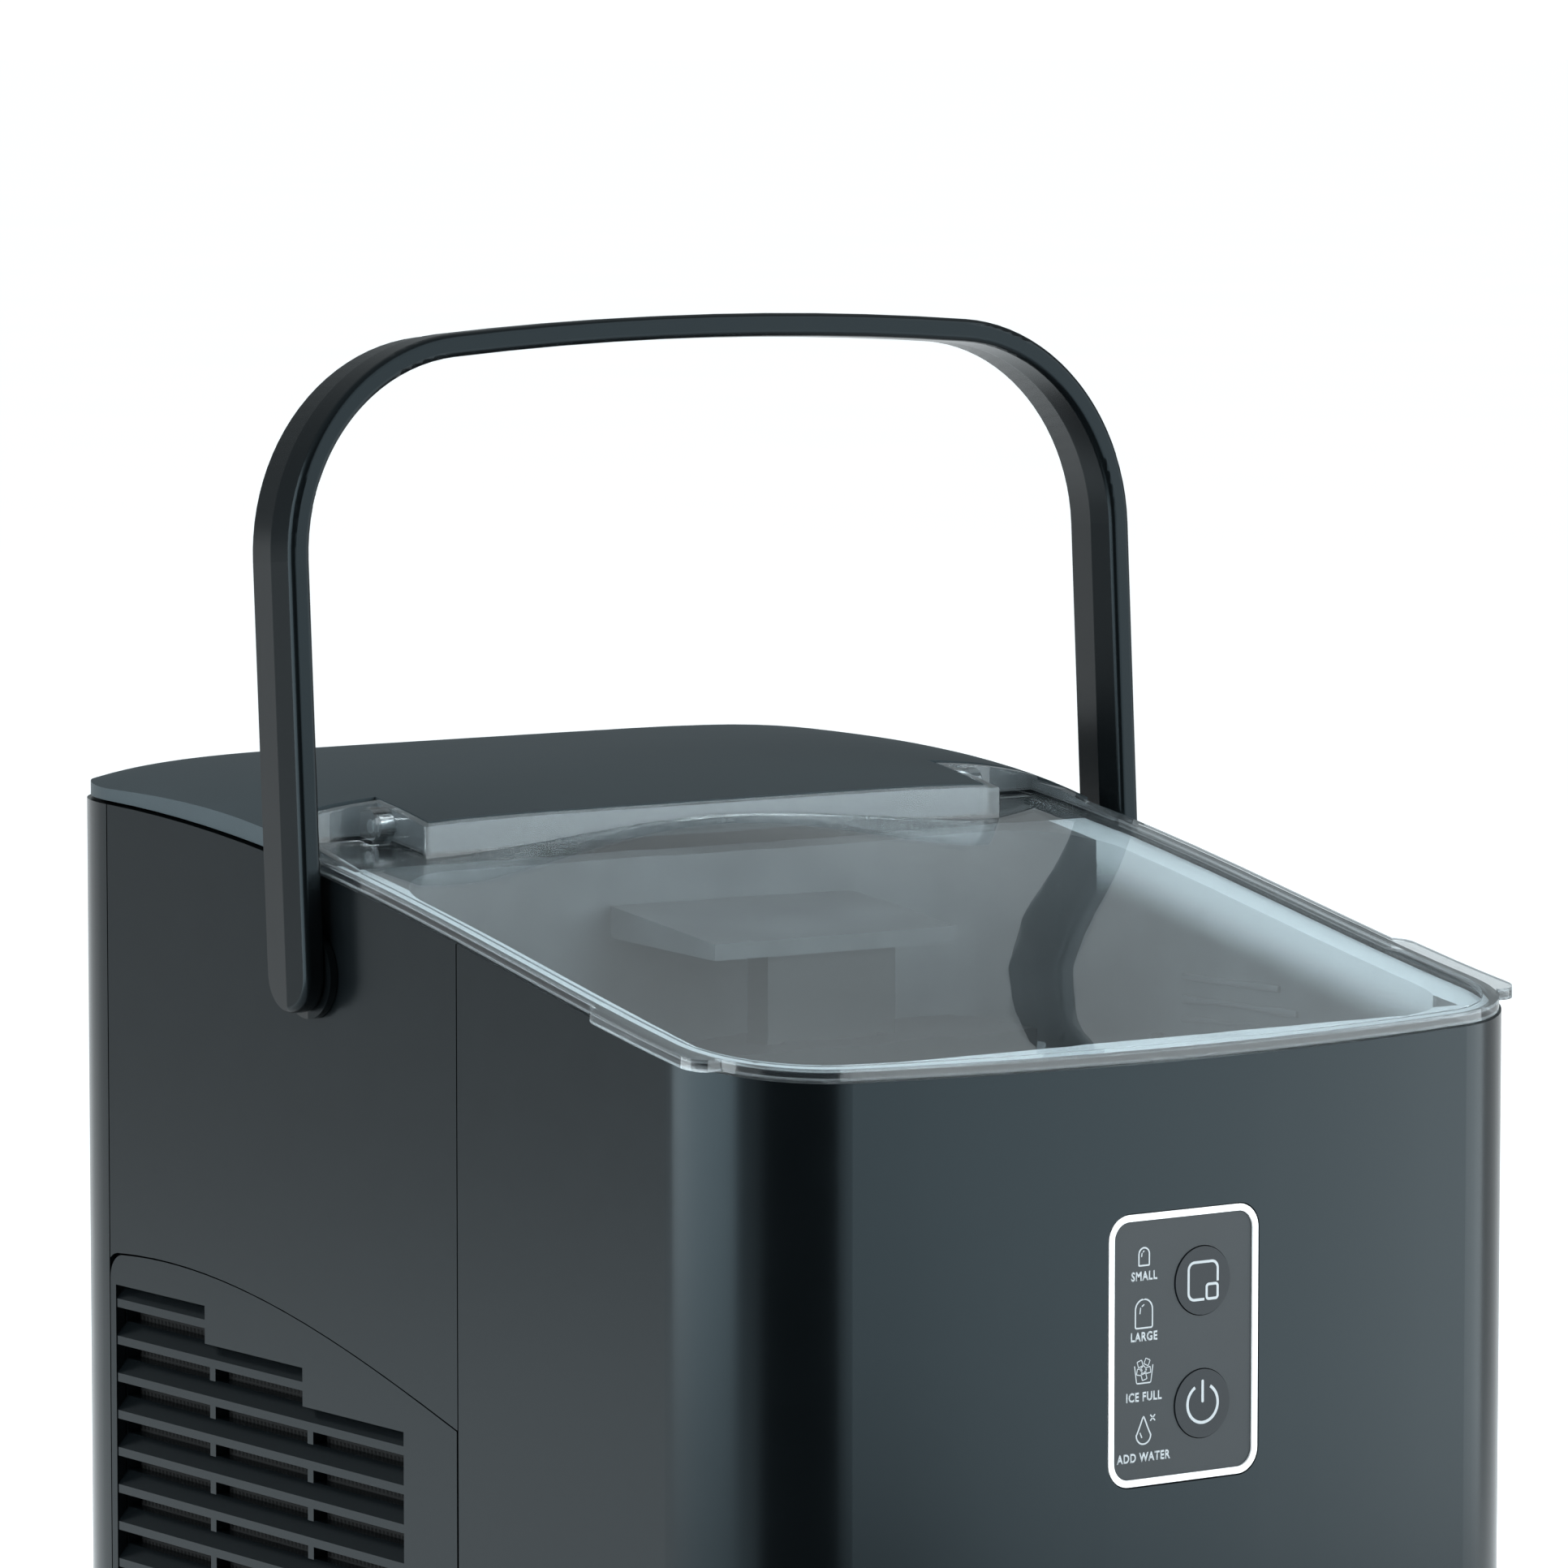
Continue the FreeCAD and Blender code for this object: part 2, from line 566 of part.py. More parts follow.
def make_lid():
    sheet_plan = outline_body("lid_sheet_plan", "2.9", "200", "130")
    front_zone = box("lid_front_zone", ("-130", "-160", "150"), ("260", "160 + lidRearY", "200"))
    ear_zones = [box("lid_ear_zone", ("earInner" if sign > 0 else "-earOuter", "lidRearY - 30", "150"),
                     ("earOuter - earInner", "earRearY - lidRearY + 30", "200")) for sign in (-1, 1)]
    region = common("lid_region", sheet_plan, fuse("lid_zones", front_zone, *ear_zones))
    reach = (-v("bodyDepth") / 2 - 6, v("earRearY") + 6)
    upper = below_surface("lid_upper", lid_top, reach, x_steps=24, y_steps=12)
    lower = below_surface("lid_lower", lid_top, reach, x_steps=24, y_steps=12, shift=-v("lidSheet"))
    skin = cut("lid_skin", common("lid_skin_blank", region, upper), lower)

    # risers: across the middle, back along the inner ends of the ears, and round the ears
    wall = "lidSheet"
    walls = [box("riser", ("-earInner - lidSheet", "lidRearY - lidSheet", "150"),
                 ("2 * earInner + 2 * lidSheet", wall, "200"))]
    for sign in (-1, 1):
        inner = "earInner" if sign > 0 else "-earInner - lidSheet"
        walls.append(box("ear_return", (inner, "lidRearY - lidSheet", "150"),
                         (wall, "earRearY - lidRearY + lidSheet", "200")))
        walls.append(box("ear_back", ("earInner" if sign > 0 else "-earOuter", "earRearY - lidSheet", "150"),
                         ("earOuter - earInner", wall, "200")))
    dome = below_surface("lid_riser_top", cover_top, (10, v("earRearY") + 8), x_steps=16, y_steps=6)
    risers = cut("lid_risers", common("lid_riser_blank", fuse("lid_walls", *walls), dome), lower)
    sides = []
    side_points = [(v("earRearY"), 291.2), (35, 289.6), (14, casing_top(14) + v("lidRim")),
                   (14, casing_top(14) - 0.5), (v("earRearY"), casing_top(v("earRearY")) - 0.5)]
    for sign in (-1, 1):
        x = v("earOuter") - 2 if sign > 0 else -v("earOuter")
        sides.append(prism_along_x("ear_side", side_points, x, 2))

    # rim that lies on the casing's edge, and the two finger tabs
    rim_plan = outline_body("lid_rim_plan", "0.5", "200", "130")
    rim_inner = outline_body("lid_rim_inner", "4.2", "190", "150")
    rim_zone = box("lid_rim_zone", ("-130", "-160", "150"), ("260", "160 + lidRearY", "200"))
    band_top = below_profile("lid_band_top", v("lidRim"), bottom=100)
    band_low = below_profile("lid_band_low", v("lidGap"), bottom=90)
    rim = cut("lid_rim", common("lid_rim_blank", rim_plan, rim_zone, band_top), rim_inner, band_low)
    tabs = rounded_body("lid_tabs_plan", ("-tabReach", "tabFrontY"), ("tabReach", "tabRearY"), "200", "130", "5")
    tab_core = box("lid_tab_core", ("-bodyWidth / 2 + 4", "-160", "150"), ("bodyWidth - 8", "200", "200"))
    tab = cut("lid_tabs", common("lid_tab_blank", tabs, band_top), band_low, tab_core)

    bosses = [cylinder("lid_boss", "4.4", "7", ("%d * earInner" % sign, "lidAxisY", "lidAxisZ"), (sign, 0, 0))
              for sign in (-1, 1)]
    bores = [cylinder("lid_bore", "pinRadius + runningGap", "4.6", ("%d * (earInner - 0.1)" % sign, "lidAxisY",
                                                                   "lidAxisZ"), (sign, 0, 0)) for sign in (-1, 1)]
    whole = fuse("lid_whole", skin, risers, *sides, rim, tab, *bosses)
    node(cut("lid", whole, *bores), "lid")


# ---------------------------------------------------------------- carry handle

def bail_face(outer_offset, inner_offset):
    """The handle's outline in its own XZ plane, between two offsets inwards from its outside:
    two legs, two bends and an arched crossbar."""
    def path(offset):
        half = v("handleHalf") - offset
        bend = v("handleBend") - offset
        arch = v("handleArch") - offset
        arch_z = v("handleReach") - v("handleArch")
        bend_x = half - bend
        bend_z = arch_z + math.sqrt((arch - bend) ** 2 - bend_x ** 2)
        toward = Vector(bend_x, 0, bend_z - arch_z).normalize()
        join = Vector(0, 0, arch_z) + toward * arch
        halfway = (toward + Vector(1, 0, 0)).normalize()
        foot = Vector(half, 0, -v("handleBand") / 2)
        side = [Part.makeLine(foot, Vector(half, 0, bend_z)),
                Part.Arc(Vector(half, 0, bend_z), Vector(bend_x, 0, bend_z) + halfway * bend, join).toShape()]
        crown = Part.Arc(join, Vector(0, 0, arch_z + arch), Vector(-join.x, 0, join.z)).toShape()
        return foot, side, crown

    foot_out, side_out, crown_out = path(outer_offset)
    foot_in, side_in, crown_in = path(inner_offset)
    flip = [edge.mirror(Vector(), Vector(1, 0, 0)) for edge in side_out + side_in]
    ends = [Part.makeLine(foot_out, foot_in),
            Part.makeLine(Vector(-foot_out.x, 0, foot_out.z), Vector(-foot_in.x, 0, foot_in.z))]
    edges = side_out + [crown_out] + side_in + [crown_in] + flip + ends
    return Part.Face(Part.Wire(Part.__sortEdges__(edges)))


def on_face_plane(edge, y):
    """True for an edge that lies wholly in the plane at y."""
    span = edge.LastParameter - edge.FirstParameter
    return all(abs(edge.valueAt(edge.FirstParameter + share * span).y - y) < 0.01 for share in (0, 0.5, 1))


def make_handle():
    band = v("handleBand") / 2
    thick = v("handleThick")
    step = v("handleStep")
    margin = 2
    silhouette = Part.makeBox(260, 2 * band, 200, Vector(-130, -band, 0)).fuse(
        Part.makeCylinder(band, 260, Vector(-130, 0, 0), Vector(1, 0, 0))).removeSplitter()
    bail = bail_face(0, thick).extrude(Vector(0, 2 * band, 0))
    bail.translate(Vector(0, -band, 0))
    bail = bail.common(silhouette).Solids[0]
    rims = [edge for edge in bail.Edges
            if (on_face_plane(edge, -band) or on_face_plane(edge, band)) and edge.Length > thick + 0.1]
    bail = bail.makeFillet(v("handleRound"), rims)
    for faces in ((-margin, step), (thick - step, thick + margin)):
        bail = bail.cut(bail_face(*faces).extrude(Vector(0, band + margin, 0)))
    tilt = FreeCAD.Placement(Vector(0, v("pivotY"), v("pivotZ")), Rotation(Vector(1, 0, 0), -v("handleLean")))
    handle = feature("carry_handle", bail)
    handle.Placement = tilt
    node(handle, "carry_handle")
    leg_inner = "handleHalf - handleThick"
    for side, sign in (("left", -1), ("right", 1)):
        disc = cylinder("pivot_disc", "hubRadius", "%s - bodyWidth / 2 - 0.3" % leg_inner,
                        ("%d * (bodyWidth / 2 + 0.3)" % sign, "pivotY", "pivotZ"), (sign, 0, 0))
        shaft = cylinder("pivot_shaft", "pivotRadius", "%s - 103" % leg_inner,
                         ("%d * 103" % sign, "pivotY", "pivotZ"), (sign, 0, 0))
        node(fuse("handle_pivot_" + side, disc, shaft), "handle_pivot_" + side)
        clip = cut("handle_clip_" + side,
                   cylinder("clip_disc", "7", "1.4", ("%d * 104.6" % sign, "pivotY", "pivotZ"), (sign, 0, 0)),
                   cylinder("clip_bore", "pivotRadius", "3", ("%d * 104" % sign, "pivotY", "pivotZ"),
                            (sign, 0, 0)))
        node(clip, "handle_clip_" + side)
        sleeve = cylinder("bushing_sleeve", "bushingRadius - 0.02", "4.2", ("%d * 106.5" % sign, "pivotY",
                                                                         "pivotZ"), (sign, 0, 0))
        flange = cylinder("bushing_flange", "9.4", "1.9", ("%d * 106.5" % sign, "pivotY", "pivotZ"),
                          (sign, 0, 0))
        bore = cylinder("bushing_bore", "pivotRadius + runningGap", "9", ("%d * 105" % sign, "pivotY",
                                                                         "pivotZ"), (sign, 0, 0))
        node(cut("handle_bushing_" + side, fuse("bushing_blank_" + side, sleeve, flange), bore),
             "handle_bushing_" + side)


# ---------------------------------------------------------------- ice compartment

def make_liner():
    under = below_profile("liner_top", -v("linerDrop"), bottom=20)
    outside = rounded_body("tub_outside", ("-tubHalf", "tubFrontY"), ("tubHalf", "tubRearY"), "tubFloorZ", "220",
                           "tubCorner")
    inside = rounded_body("tub_inside", ("-tubHalf + tubWall", "tubFrontY + tubWall"),
                          ("tubHalf - tubWall", "tubRearY - tubWall"), "tubFloorZ + tubWall", "220",
                          "tubCorner - tubWall")
    rim_plan = outline_body("tub_rim_plan", "2.9", "200", "110")
    rim_zone = box("tub_rim_zone", ("-130", "-160", "150"), ("260", "160 + tubRearY + 4", "200"))
    rim_under = below_profile("tub_rim_under", -v("linerDrop") - 2, bottom=10)
    rim = cut("tub_rim", common("tub_rim_blank", rim_plan, rim_zone, under), rim_under)
    walls = common("tub_walls", outside, under)
    drain = cylinder("tub_drain_hole", "3", "20", ("60", "-110", "tubFloorZ - 6"))
    bearing = cylinder("tray_bearing", "3.05", "8", ("-tubHalf - 3", "trayAxisY", "trayAxisZ"), (1, 0, 0))
    motor_way = cylinder("tray_motor_way", "5.1", "8", ("tubHalf - 5", "trayAxisY", "trayAxisZ"), (1, 0, 0))
    shell = cut("tub_shell", fuse("tub_blank", walls, rim), inside, drain, bearing, motor_way)
    ledges = [box("basket_ledge", ("tubHalf - 17" if sign > 0 else "-tubHalf + 1", "basketFrontY + 10",
                                   "basketBottomZ - 6"), ("16", "basketRearY - basketFrontY - 14", "5.8"))
              for sign in (-1, 1)]
    node(fuse("inner_liner", shell, *ledges), "inner_liner")

    jacket = rounded_body("jacket_outside", ("-tubHalf - 3.2", "tubFrontY - 5"), ("tubHalf + 3.2", "tubRearY + 6"),
                          "tubFloorZ - 6", "120", "tubCorner + 5")
    core = rounded_body("jacket_inside", ("-tubHalf - 0.2", "tubFrontY - 0.2"), ("tubHalf + 0.2",
                                                                               "tubRearY + 0.2"),
                        "tubFloorZ - 0.2", "150", "tubCorner + 0.2")
    drain_way = cylinder("jacket_drain", "7.5", "20", ("60", "-110", "tubFloorZ - 12"))
    node(cut("foam_insulation", jacket, core, drain_way), "foam_insulation")

    # a sloping shelf that leads released ice into the basket
    shelf = [(v("tubRearY"), 186), (-49, 181), (-49, 179), (v("tubRearY"), 184)]
    shelf_plan = rounded_body("shelf_plan", ("-tubHalf + tubWall + 0.3", "tubFrontY + tubWall"),
                              ("tubHalf - tubWall - 0.3", "tubRearY - tubWall - 0.3"), "150", "60",
                              "tubCorner - tubWall")
    node(common("ice_chute", prism_along_x("shelf", shelf, -130, 260), shelf_plan), "ice_chute")


def make_evaporator():
    """A cold plate with nine fingers in rows of five and four, under its refrigerant header."""
    pitch = v("fingerPitch")
    z = v("trayAxisZ") + 6
    plate = box("cold_plate", ("-50", "trayAxisY - 16", "%g" % z), ("100", "32", "6"))
    fingers = []
    for row_y, count in ((-9, 5), (9, 4)):
        for k in range(count):
            x = (k - (count - 1) / 2) * pitch
            fingers.append(cylinder("finger", "fingerRadius", "fingerLength - fingerRadius",
                                    ("%g" % x, "trayAxisY + %g" % row_y,
                                     "%g - fingerLength + fingerRadius" % z)))
            tip = doc.addObject("Part::Sphere", "finger_tip")
            tip.setExpression("Radius", ex("fingerRadius"))
            fingers.append(place(tip, ("%g" % x, "trayAxisY + %g" % row_y,
                                       "%g - fingerLength + fingerRadius" % z)))
    stem = box("evaporator_stem", ("-18", "trayAxisY - 4", "%g" % (z + 5)), ("36", "8", "22"))
    node(fuse("evaporator", plate, *fingers, stem), "evaporator")
    # bridge over the tray that carries the evaporator from the tub's rear wall
    arm = [(v("tubRearY") - 2.2, 270), (v("tubRearY") - 2.2, 262.4), (-20, 261.2), (-20, 265)]
    node(prism_along_x("evaporator_bridge", arm, -34, 68), "evaporator_bridge")


def make_tray():
    reach = "2 * trayHalf"
    y, z = "trayAxisY", "trayAxisZ"
    drum = cylinder("tray_drum", "trayInner + trayWall", reach, ("-trayHalf", y, z), (1, 0, 0))
    hollow = cylinder("tray_hollow", "trayInner", "%s - 2 * trayWall" % reach, ("-trayHalf + trayWall", y, z),
                      (1, 0, 0))
    upper = box("tray_upper", ("-trayHalf - 5", "trayAxisY - 40", "trayAxisZ - 1"), ("2 * trayHalf + 10", "80",
                                                                                  "60"))
    half = cut("tray_half", drum, hollow, upper)
    hubs = [cylinder("tray_hub", "6", "4", ("%d * trayHalf" % sign, y, z), (sign, 0, 0)) for sign in (-1, 1)]
    webs = [box("tray_web", ("%s" % ("trayHalf" if sign > 0 else "-trayHalf - 4"), "trayAxisY - 6",
                             "trayAxisZ - 12"), ("4", "12", "12")) for sign in (-1, 1)]
    bores = [cylinder("tray_bore", "3.05", "8", ("%d * (trayHalf - 1)" % sign, y, z), (sign, 0, 0))
             for sign in (-1, 1)]
    node(cut("water_tray", fuse("tray_blank", half, *hubs, *webs), *bores), "water_tray")
    node(cylinder("tray_drive_shaft", "3", "43.5", ("trayHalf - 0.9", y, z), (1, 0, 0)), "tray_drive_shaft")
    node(cylinder("tray_idle_pin", "3", "43.5", ("-trayHalf + 0.9", y, z), (-1, 0, 0)), "tray_idle_pin")
    motor = fuse("motor_blank", box("motor_case", ("tubHalf + 0.3", "trayAxisY - 15", "trayAxisZ - 17"),
                                    ("7", "30", "30")),
                 cylinder("motor_boss", "5", "3.2", ("tubHalf - 2.9", y, z), (1, 0, 0)))
    socket = cylinder("motor_socket", "3.05", "5.2", ("tubHalf - 3.9", y, z), (1, 0, 0))
    return motor, socket


def make_pusher():
    blade = box("pusher_blade", ("-54", "tubRearY - 9", "186.6"), ("108", "3", "7.4"))
    foot = box("pusher_foot", ("-54", "tubRearY - 6.2", "186.6"), ("108", "3.4", "2"))
    ribs = [box("pusher_rib", ("%g" % x, "tubRearY - 6.2", "186.6"), ("2", "3", "6")) for x in (-40, -14, 12, 38)]
    node(fuse("ice_pusher", blade, foot, *ribs), "ice_pusher")


def make_basket():
    outside = rounded_body("basket_outside", ("-basketHalf", "basketFrontY"), ("basketHalf", "basketRearY"),
                           "basketBottomZ", "basketTopZ - basketBottomZ", "16")
    inside = rounded_body("basket_inside", ("-basketHalf + basketWall", "basketFrontY + basketWall"),
                          ("basketHalf - basketWall", "basketRearY - basketWall"),
                          "basketBottomZ + basketWall", "200", "14")
    low_rear = box("basket_mouth", ("-basketHalf + 14", "basketRearY - 5", "177"), ("2 * basketHalf - 28", "10",
                                                                                 "70"))
    slots = [box("basket_slot", ("%g" % (-80 + 16 * k), "basketFrontY - 5", "150"), ("6", "90", "55"))
             for k in range(11)]
    floor = [box("basket_floor_slot", ("%g" % (-80 + 16 * k), "basketFrontY + 12", "basketBottomZ - 2"),
                 ("6", "54", "8")) for k in range(11)]
    node(cut("ice_basket", outside, inside, low_rear, *slots, *floor), "ice_basket")


def make_sensors():
    emitters = [cylinder("ir_emitter", "4", "3", ("%d * (tubHalf - tubWall - 3)" % sign, "-100", "242"),
                         (sign, 0, 0)) for sign in (-1, 1)]
    node(group("ice_full_sensors", emitters), "ice_full_sensors")
    post = cylinder("float_post", "3", "24", ("-70", "6", "tubFloorZ + tubWall"))
    collar = cut("float_ring", cylinder("float_body", "9", "9", ("-70", "6", "tubFloorZ + tubWall + 6")),
                 cylinder("float_bore", "3", "30", ("-70", "6", "tubFloorZ")))
    node(fuse("water_level_sensor", post, collar), "water_level_sensor")


# ---------------------------------------------------------------- controls

def make_panel():
    low = ("-panelWidth / 2", "panelCentreZ - panelHeight / 2")
    high = ("panelWidth / 2", "panelCentreZ + panelHeight / 2")
    inner_low = ("-panelWidth / 2 + ringWidth", "panelCentreZ - panelHeight / 2 + ringWidth")
    inner_high = ("panelWidth / 2 - ringWidth", "panelCentreZ + panelHeight / 2 - ringWidth")
    front = "bodyDepth / 2"
    ring = rounded_body("panel_ring", low, high, front + " - 3.2", "2.8", "panelCorner", "XZ_Plane")
    hole = new_sketch(ring, "ring_hole", "XZ_Plane", front + " - 4")
    draw_rectangle(hole, inner_low, inner_high, "panelCorner - ringWidth")
    pocket(ring, hole, "8", reverse=True)
    node(ring, "panel_ring")

    tight_low = (inner_low[0] + " + 0.1", inner_low[1] + " + 0.1")
    tight_high = (inner_high[0] + " - 0.1", inner_high[1] + " - 0.1")
    face = rounded_body("panel_face", tight_low, tight_high, front + " - 3.2", "2.4", "panelCorner - ringWidth - 0.1",
                        "XZ_Plane")
    back = box("panel_flange", ("-26", "-bodyDepth / 2 + 3.2", "panelCentreZ - 36"), ("52", "2", "72"))
    tools = [cylinder("button_hole", "buttonRadius + buttonGap", "10", ("buttonX", "-bodyDepth / 2 - 1", z),
                      (0, 1, 0)) for z in ("sizeButtonZ", "powerButtonZ")]
    tools += [cylinder("light_hole", "1.6", "4", ("-10.7", "-bodyDepth / 2 + 2.2", "%g" % z), (0, 1, 0))
              for z in (209.1, 196.7, 183.9, 171.1)]
    node(cut("control_panel", fuse("panel_blank", face, back), *tools), "control_panel")

    for name, z in (("size_button", "sizeButtonZ"), ("power_button", "powerButtonZ")):
        cap = cylinder(name + "_cap", "buttonRadius", "5.5", ("buttonX", "-bodyDepth / 2 + 0.5", z), (0, 1, 0))
        skirt = cylinder(name + "_skirt", "buttonRadius + 1.4", "1.2", ("buttonX", "-bodyDepth / 2 + 5.35", z),
                         (0, 1, 0))
        node(fuse(name, cap, skirt), name)
    board = box("board", ("-22", "-bodyDepth / 2 + 11", "panelCentreZ - 32"), ("44", "1.6", "64"))
    switches = [fuse("tact", box("tact_base", ("buttonX - 3", "-bodyDepth / 2 + 9", z + " - 3"), ("6", "2", "6")),
                     cylinder("tact_stem", "1.6", "1.4", ("buttonX", "-bodyDepth / 2 + 7.7", z), (0, 1, 0)))
                for z in ("sizeButtonZ", "powerButtonZ")]
    node(fuse("control_board", board, *switches), "control_board")
    lights = [cylinder("light_pipe", "1.5", "8.4", ("-10.7", "-bodyDepth / 2 + 2.6", "%g" % z), (0, 1, 0))
              for z in (209.1, 196.7, 183.9, 171.1)]
    node(group("indicator_lights", lights), "indicator_lights")
    posts = [cylinder("board_post", "2", "5.8", ("%d * 20" % sx, "-bodyDepth / 2 + 5.2",
                                                 "panelCentreZ + %d * 29.5" % sz), (0, 1, 0))
             for sx in (-1, 1) for sz in (-1, 1)]
    node(group("board_standoffs", posts), "board_standoffs")


# ---------------------------------------------------------------- machinery

def tube(name, points, radius, bend):
    """A round tube along straight runs joined by tangent arcs."""
    edges = []
    start = points[0]
    for before, corner, after in zip(points, points[1:], points[2:]):
        back = (before - corner).normalize()
        ahead = (after - corner).normalize()
        half_turn = (math.pi - back.getAngle(ahead)) / 2
        leave = corner + back * (bend * math.tan(half_turn))
        enter = corner + ahead * (bend * math.tan(half_turn))
        middle_way = (back + ahead).normalize()
        centre = corner + middle_way * (bend / math.cos(half_turn))
        edges.append(Part.makeLine(start, leave))
        edges.append(Part.Arc(leave, centre - middle_way * bend, enter).toShape())
        start = enter
    edges.append(Part.makeLine(start, points[-1]))
    path = Part.Wire(edges)
    ring = Part.Wire(Part.makeCircle(radius, points[0], points[1] - points[0]))
    return feature(name, path.makePipeShell([ring], True, False))


def make_compressor():
    x, y = "compressorX", "compressorY"
    can = [cylinder("can_wall", "compressorRadius", "74", (x, y, "40")),
           cylinder("can_foot", "compressorRadius - 6", "100", (x, y, "28"))]
    dome = doc.addObject("Part::Ellipsoid", "can_dome")
    dome.Radius1 = 26
    dome.setExpression("Radius2", ex("compressorRadius"))
    dome.setExpression("Radius3", ex("compressorRadius"))
    place(dome, (x, y, "113.9"))
    lid_box = box("terminal_box", ("compressorX + compressorRadius - 6", "compressorY - 14", "60"), ("18", "28",
                                                                                               "34"))
    feet = [box("can_leg", ("compressorX - 52", "compressorY - 34", "25"), ("104", "68", "3.5"))]
    holes = [cylinder("grommet_hole", "5.1", "10", ("compressorX + %d * 45" % sx, "compressorY + %d * 28" % sy,
                                                    "20")) for sx in (-1, 1) for sy in (-1, 1)]
    node(cut("compressor", fuse("can", *can, dome, lid_box, *feet), *holes), "compressor")
    grommets = [cylinder("grommet", "5", "19.9", ("compressorX + %d * 45" % sx, "compressorY + %d * 28" % sy,
                                                  "footHeight + 2.4")) for sx in (-1, 1) for sy in (-1, 1)]
    node(group("compressor_grommets", grommets), "compressor_grommets")


def make_cooling():
    fins = [box("fin", ("-104", "34", "%g" % (30 + 4 * k)), ("20", "76", "0.8")) for k in range(30)]
    ends = [box("end_plate", ("-104", y, "29"), ("20", "1.2", "119")) for y in ("32.8", "110")]
    pipes = [cylinder("condenser_pipe", "3", "82", ("-94", "31", "%g" % z), (0, 1, 0))
             for z in (38, 58, 78, 98, 118, 138)]
    node(fuse("condenser", *fins, *ends, *pipes), "condenser")
    shroud_plate = box("shroud_plate", ("-83.6", "31", "footHeight + 2.5"), ("2", "82", "142"))
    ring = cylinder("shroud_ring", "fanRadius + 4.5", "14", ("-83.6", "fanY", "fanZ"), (1, 0, 0))
    bore = cylinder("shroud_bore", "fanRadius + 2", "30", ("-90", "fanY", "fanZ"), (1, 0, 0))
    node(cut("fan_shroud", fuse("shroud_blank", shroud_plate, ring), bore), "fan_shroud")
    node(fuse("fan_motor", cylinder("motor_can", "17", "24", ("-66", "fanY", "fanZ"), (1, 0, 0)),
              cylinder("motor_shaft", "2", "12.5", ("-78", "fanY", "fanZ"), (1, 0, 0))), "fan_motor")
    arms = [box("bracket_arm", ("-42", "fanY - 40", "fanZ - 5"), ("3", "80", "10")),
            box("bracket_foot", ("-42", "fanY - 8", "footHeight + 2.4"), ("3", "16", "fanZ - footHeight - 2")),
            box("bracket_base", ("-42", "fanY - 8", "footHeight + 2.4"), ("14", "16", "3"))]
    node(fuse("fan_bracket", *arms), "fan_bracket")
    hub = cylinder("fan_hub", "11", "9", ("-78.5", "fanY", "fanZ"), (1, 0, 0))
    blades = []
    for k in range(7):
        blade = Part.makeBox(1.6, v("fanRadius") - 8, 11, Vector(-0.8, 8, -5.5))
        blade.rotate(Vector(), Vector(0, 1, 0), 52)
        blade.translate(Vector(-74, 0, 0))
        blade.rotate(Vector(), Vector(1, 0, 0), 360 / 7 * k)
        blade.translate(Vector(0, v("fanY"), v("fanZ")))
        blades.append(feature("fan_blade", blade))
    bore = cylinder("fan_bore", "2 + runningGap", "20", ("-85", "fanY", "fanZ"), (1, 0, 0))
    node(cut("condenser_fan", fuse("fan_blank", hub, *blades), bore), "condenser_fan")


def make_plumbing():
    node(cylinder("filter_drier", "8", "70", ("88", "60", "60")), "filter_drier")
    valve = fuse("valve", box("valve_body", ("84", "92", "136"), ("14", "14", "20")),
                 cylinder("valve_coil", "10", "22", ("91", "99", "156")))
    node(valve, "hot_gas_valve")
    discharge = tube("discharge_tube", [Vector(50, 120, 126), Vector(50, 120, 146), Vector(91, 120, 146),
                                        Vector(91, 106, 146)], 3, 6)
    node(discharge, "discharge_tube")
    suction = tube("suction_tube", [Vector(0, 84, 132), Vector(0, 84, 266), Vector(0, 24, 266)], 3.5, 14)
    node(suction, "suction_tube")
    node(fuse("water_pump", cylinder("pump_body", "16", "34", ("20", "-96", "footHeight + 2.4")),
              box("pump_mount", ("0", "-116", "footHeight + 2.4"), ("40", "40", "4"))), "water_pump")
    hose = tube("water_hose", [Vector(-30, 0, 85.8), Vector(-30, 0, 60), Vector(-30, -60, 60),
                               Vector(-4, -80, 36), Vector(3.8, -91, 30)], 4, 8)
    node(hose, "water_hose")
    fitting = fuse("drain_blank",
                   cylinder("drain_stub", "6.5", "tubFloorZ - 61.2", ("60", "-110", "61.2")),
                   cylinder("drain_pipe", "5", "40", ("64", "drainY", "drainZ"), (1, 0, 0)),
                   box("drain_block", ("53", "-116", "54"), ("14", "62", "14")),
                   cylinder("drain_mouth", "11", "12.4", ("96", "drainY", "drainZ"), (1, 0, 0)))
    bore = cylinder("drain_bore", "drainRadius + 0.1", "14", ("97.5", "drainY", "drainZ"), (1, 0, 0))
    channel = cylinder("drain_channel", "3", "40", ("62", "drainY", "drainZ"), (1, 0, 0))
    node(cut("drain_fitting", fitting, bore, channel), "drain_fitting")
    plug = fuse("drain_plug", cylinder("plug_stem", "drainRadius - 0.1", "13", ("99", "drainY", "drainZ"),
                                       (1, 0, 0)),
                cylinder("plug_head", "drainRadius + 3", "2.6", ("bodyWidth / 2 + 0.2", "drainY", "drainZ"),
                         (1, 0, 0)),
                box("plug_grip", ("bodyWidth / 2 + 2.7", "drainY - 1.5", "drainZ - 7"), ("3.2", "3", "14")))
    node(plug, "drain_plug")


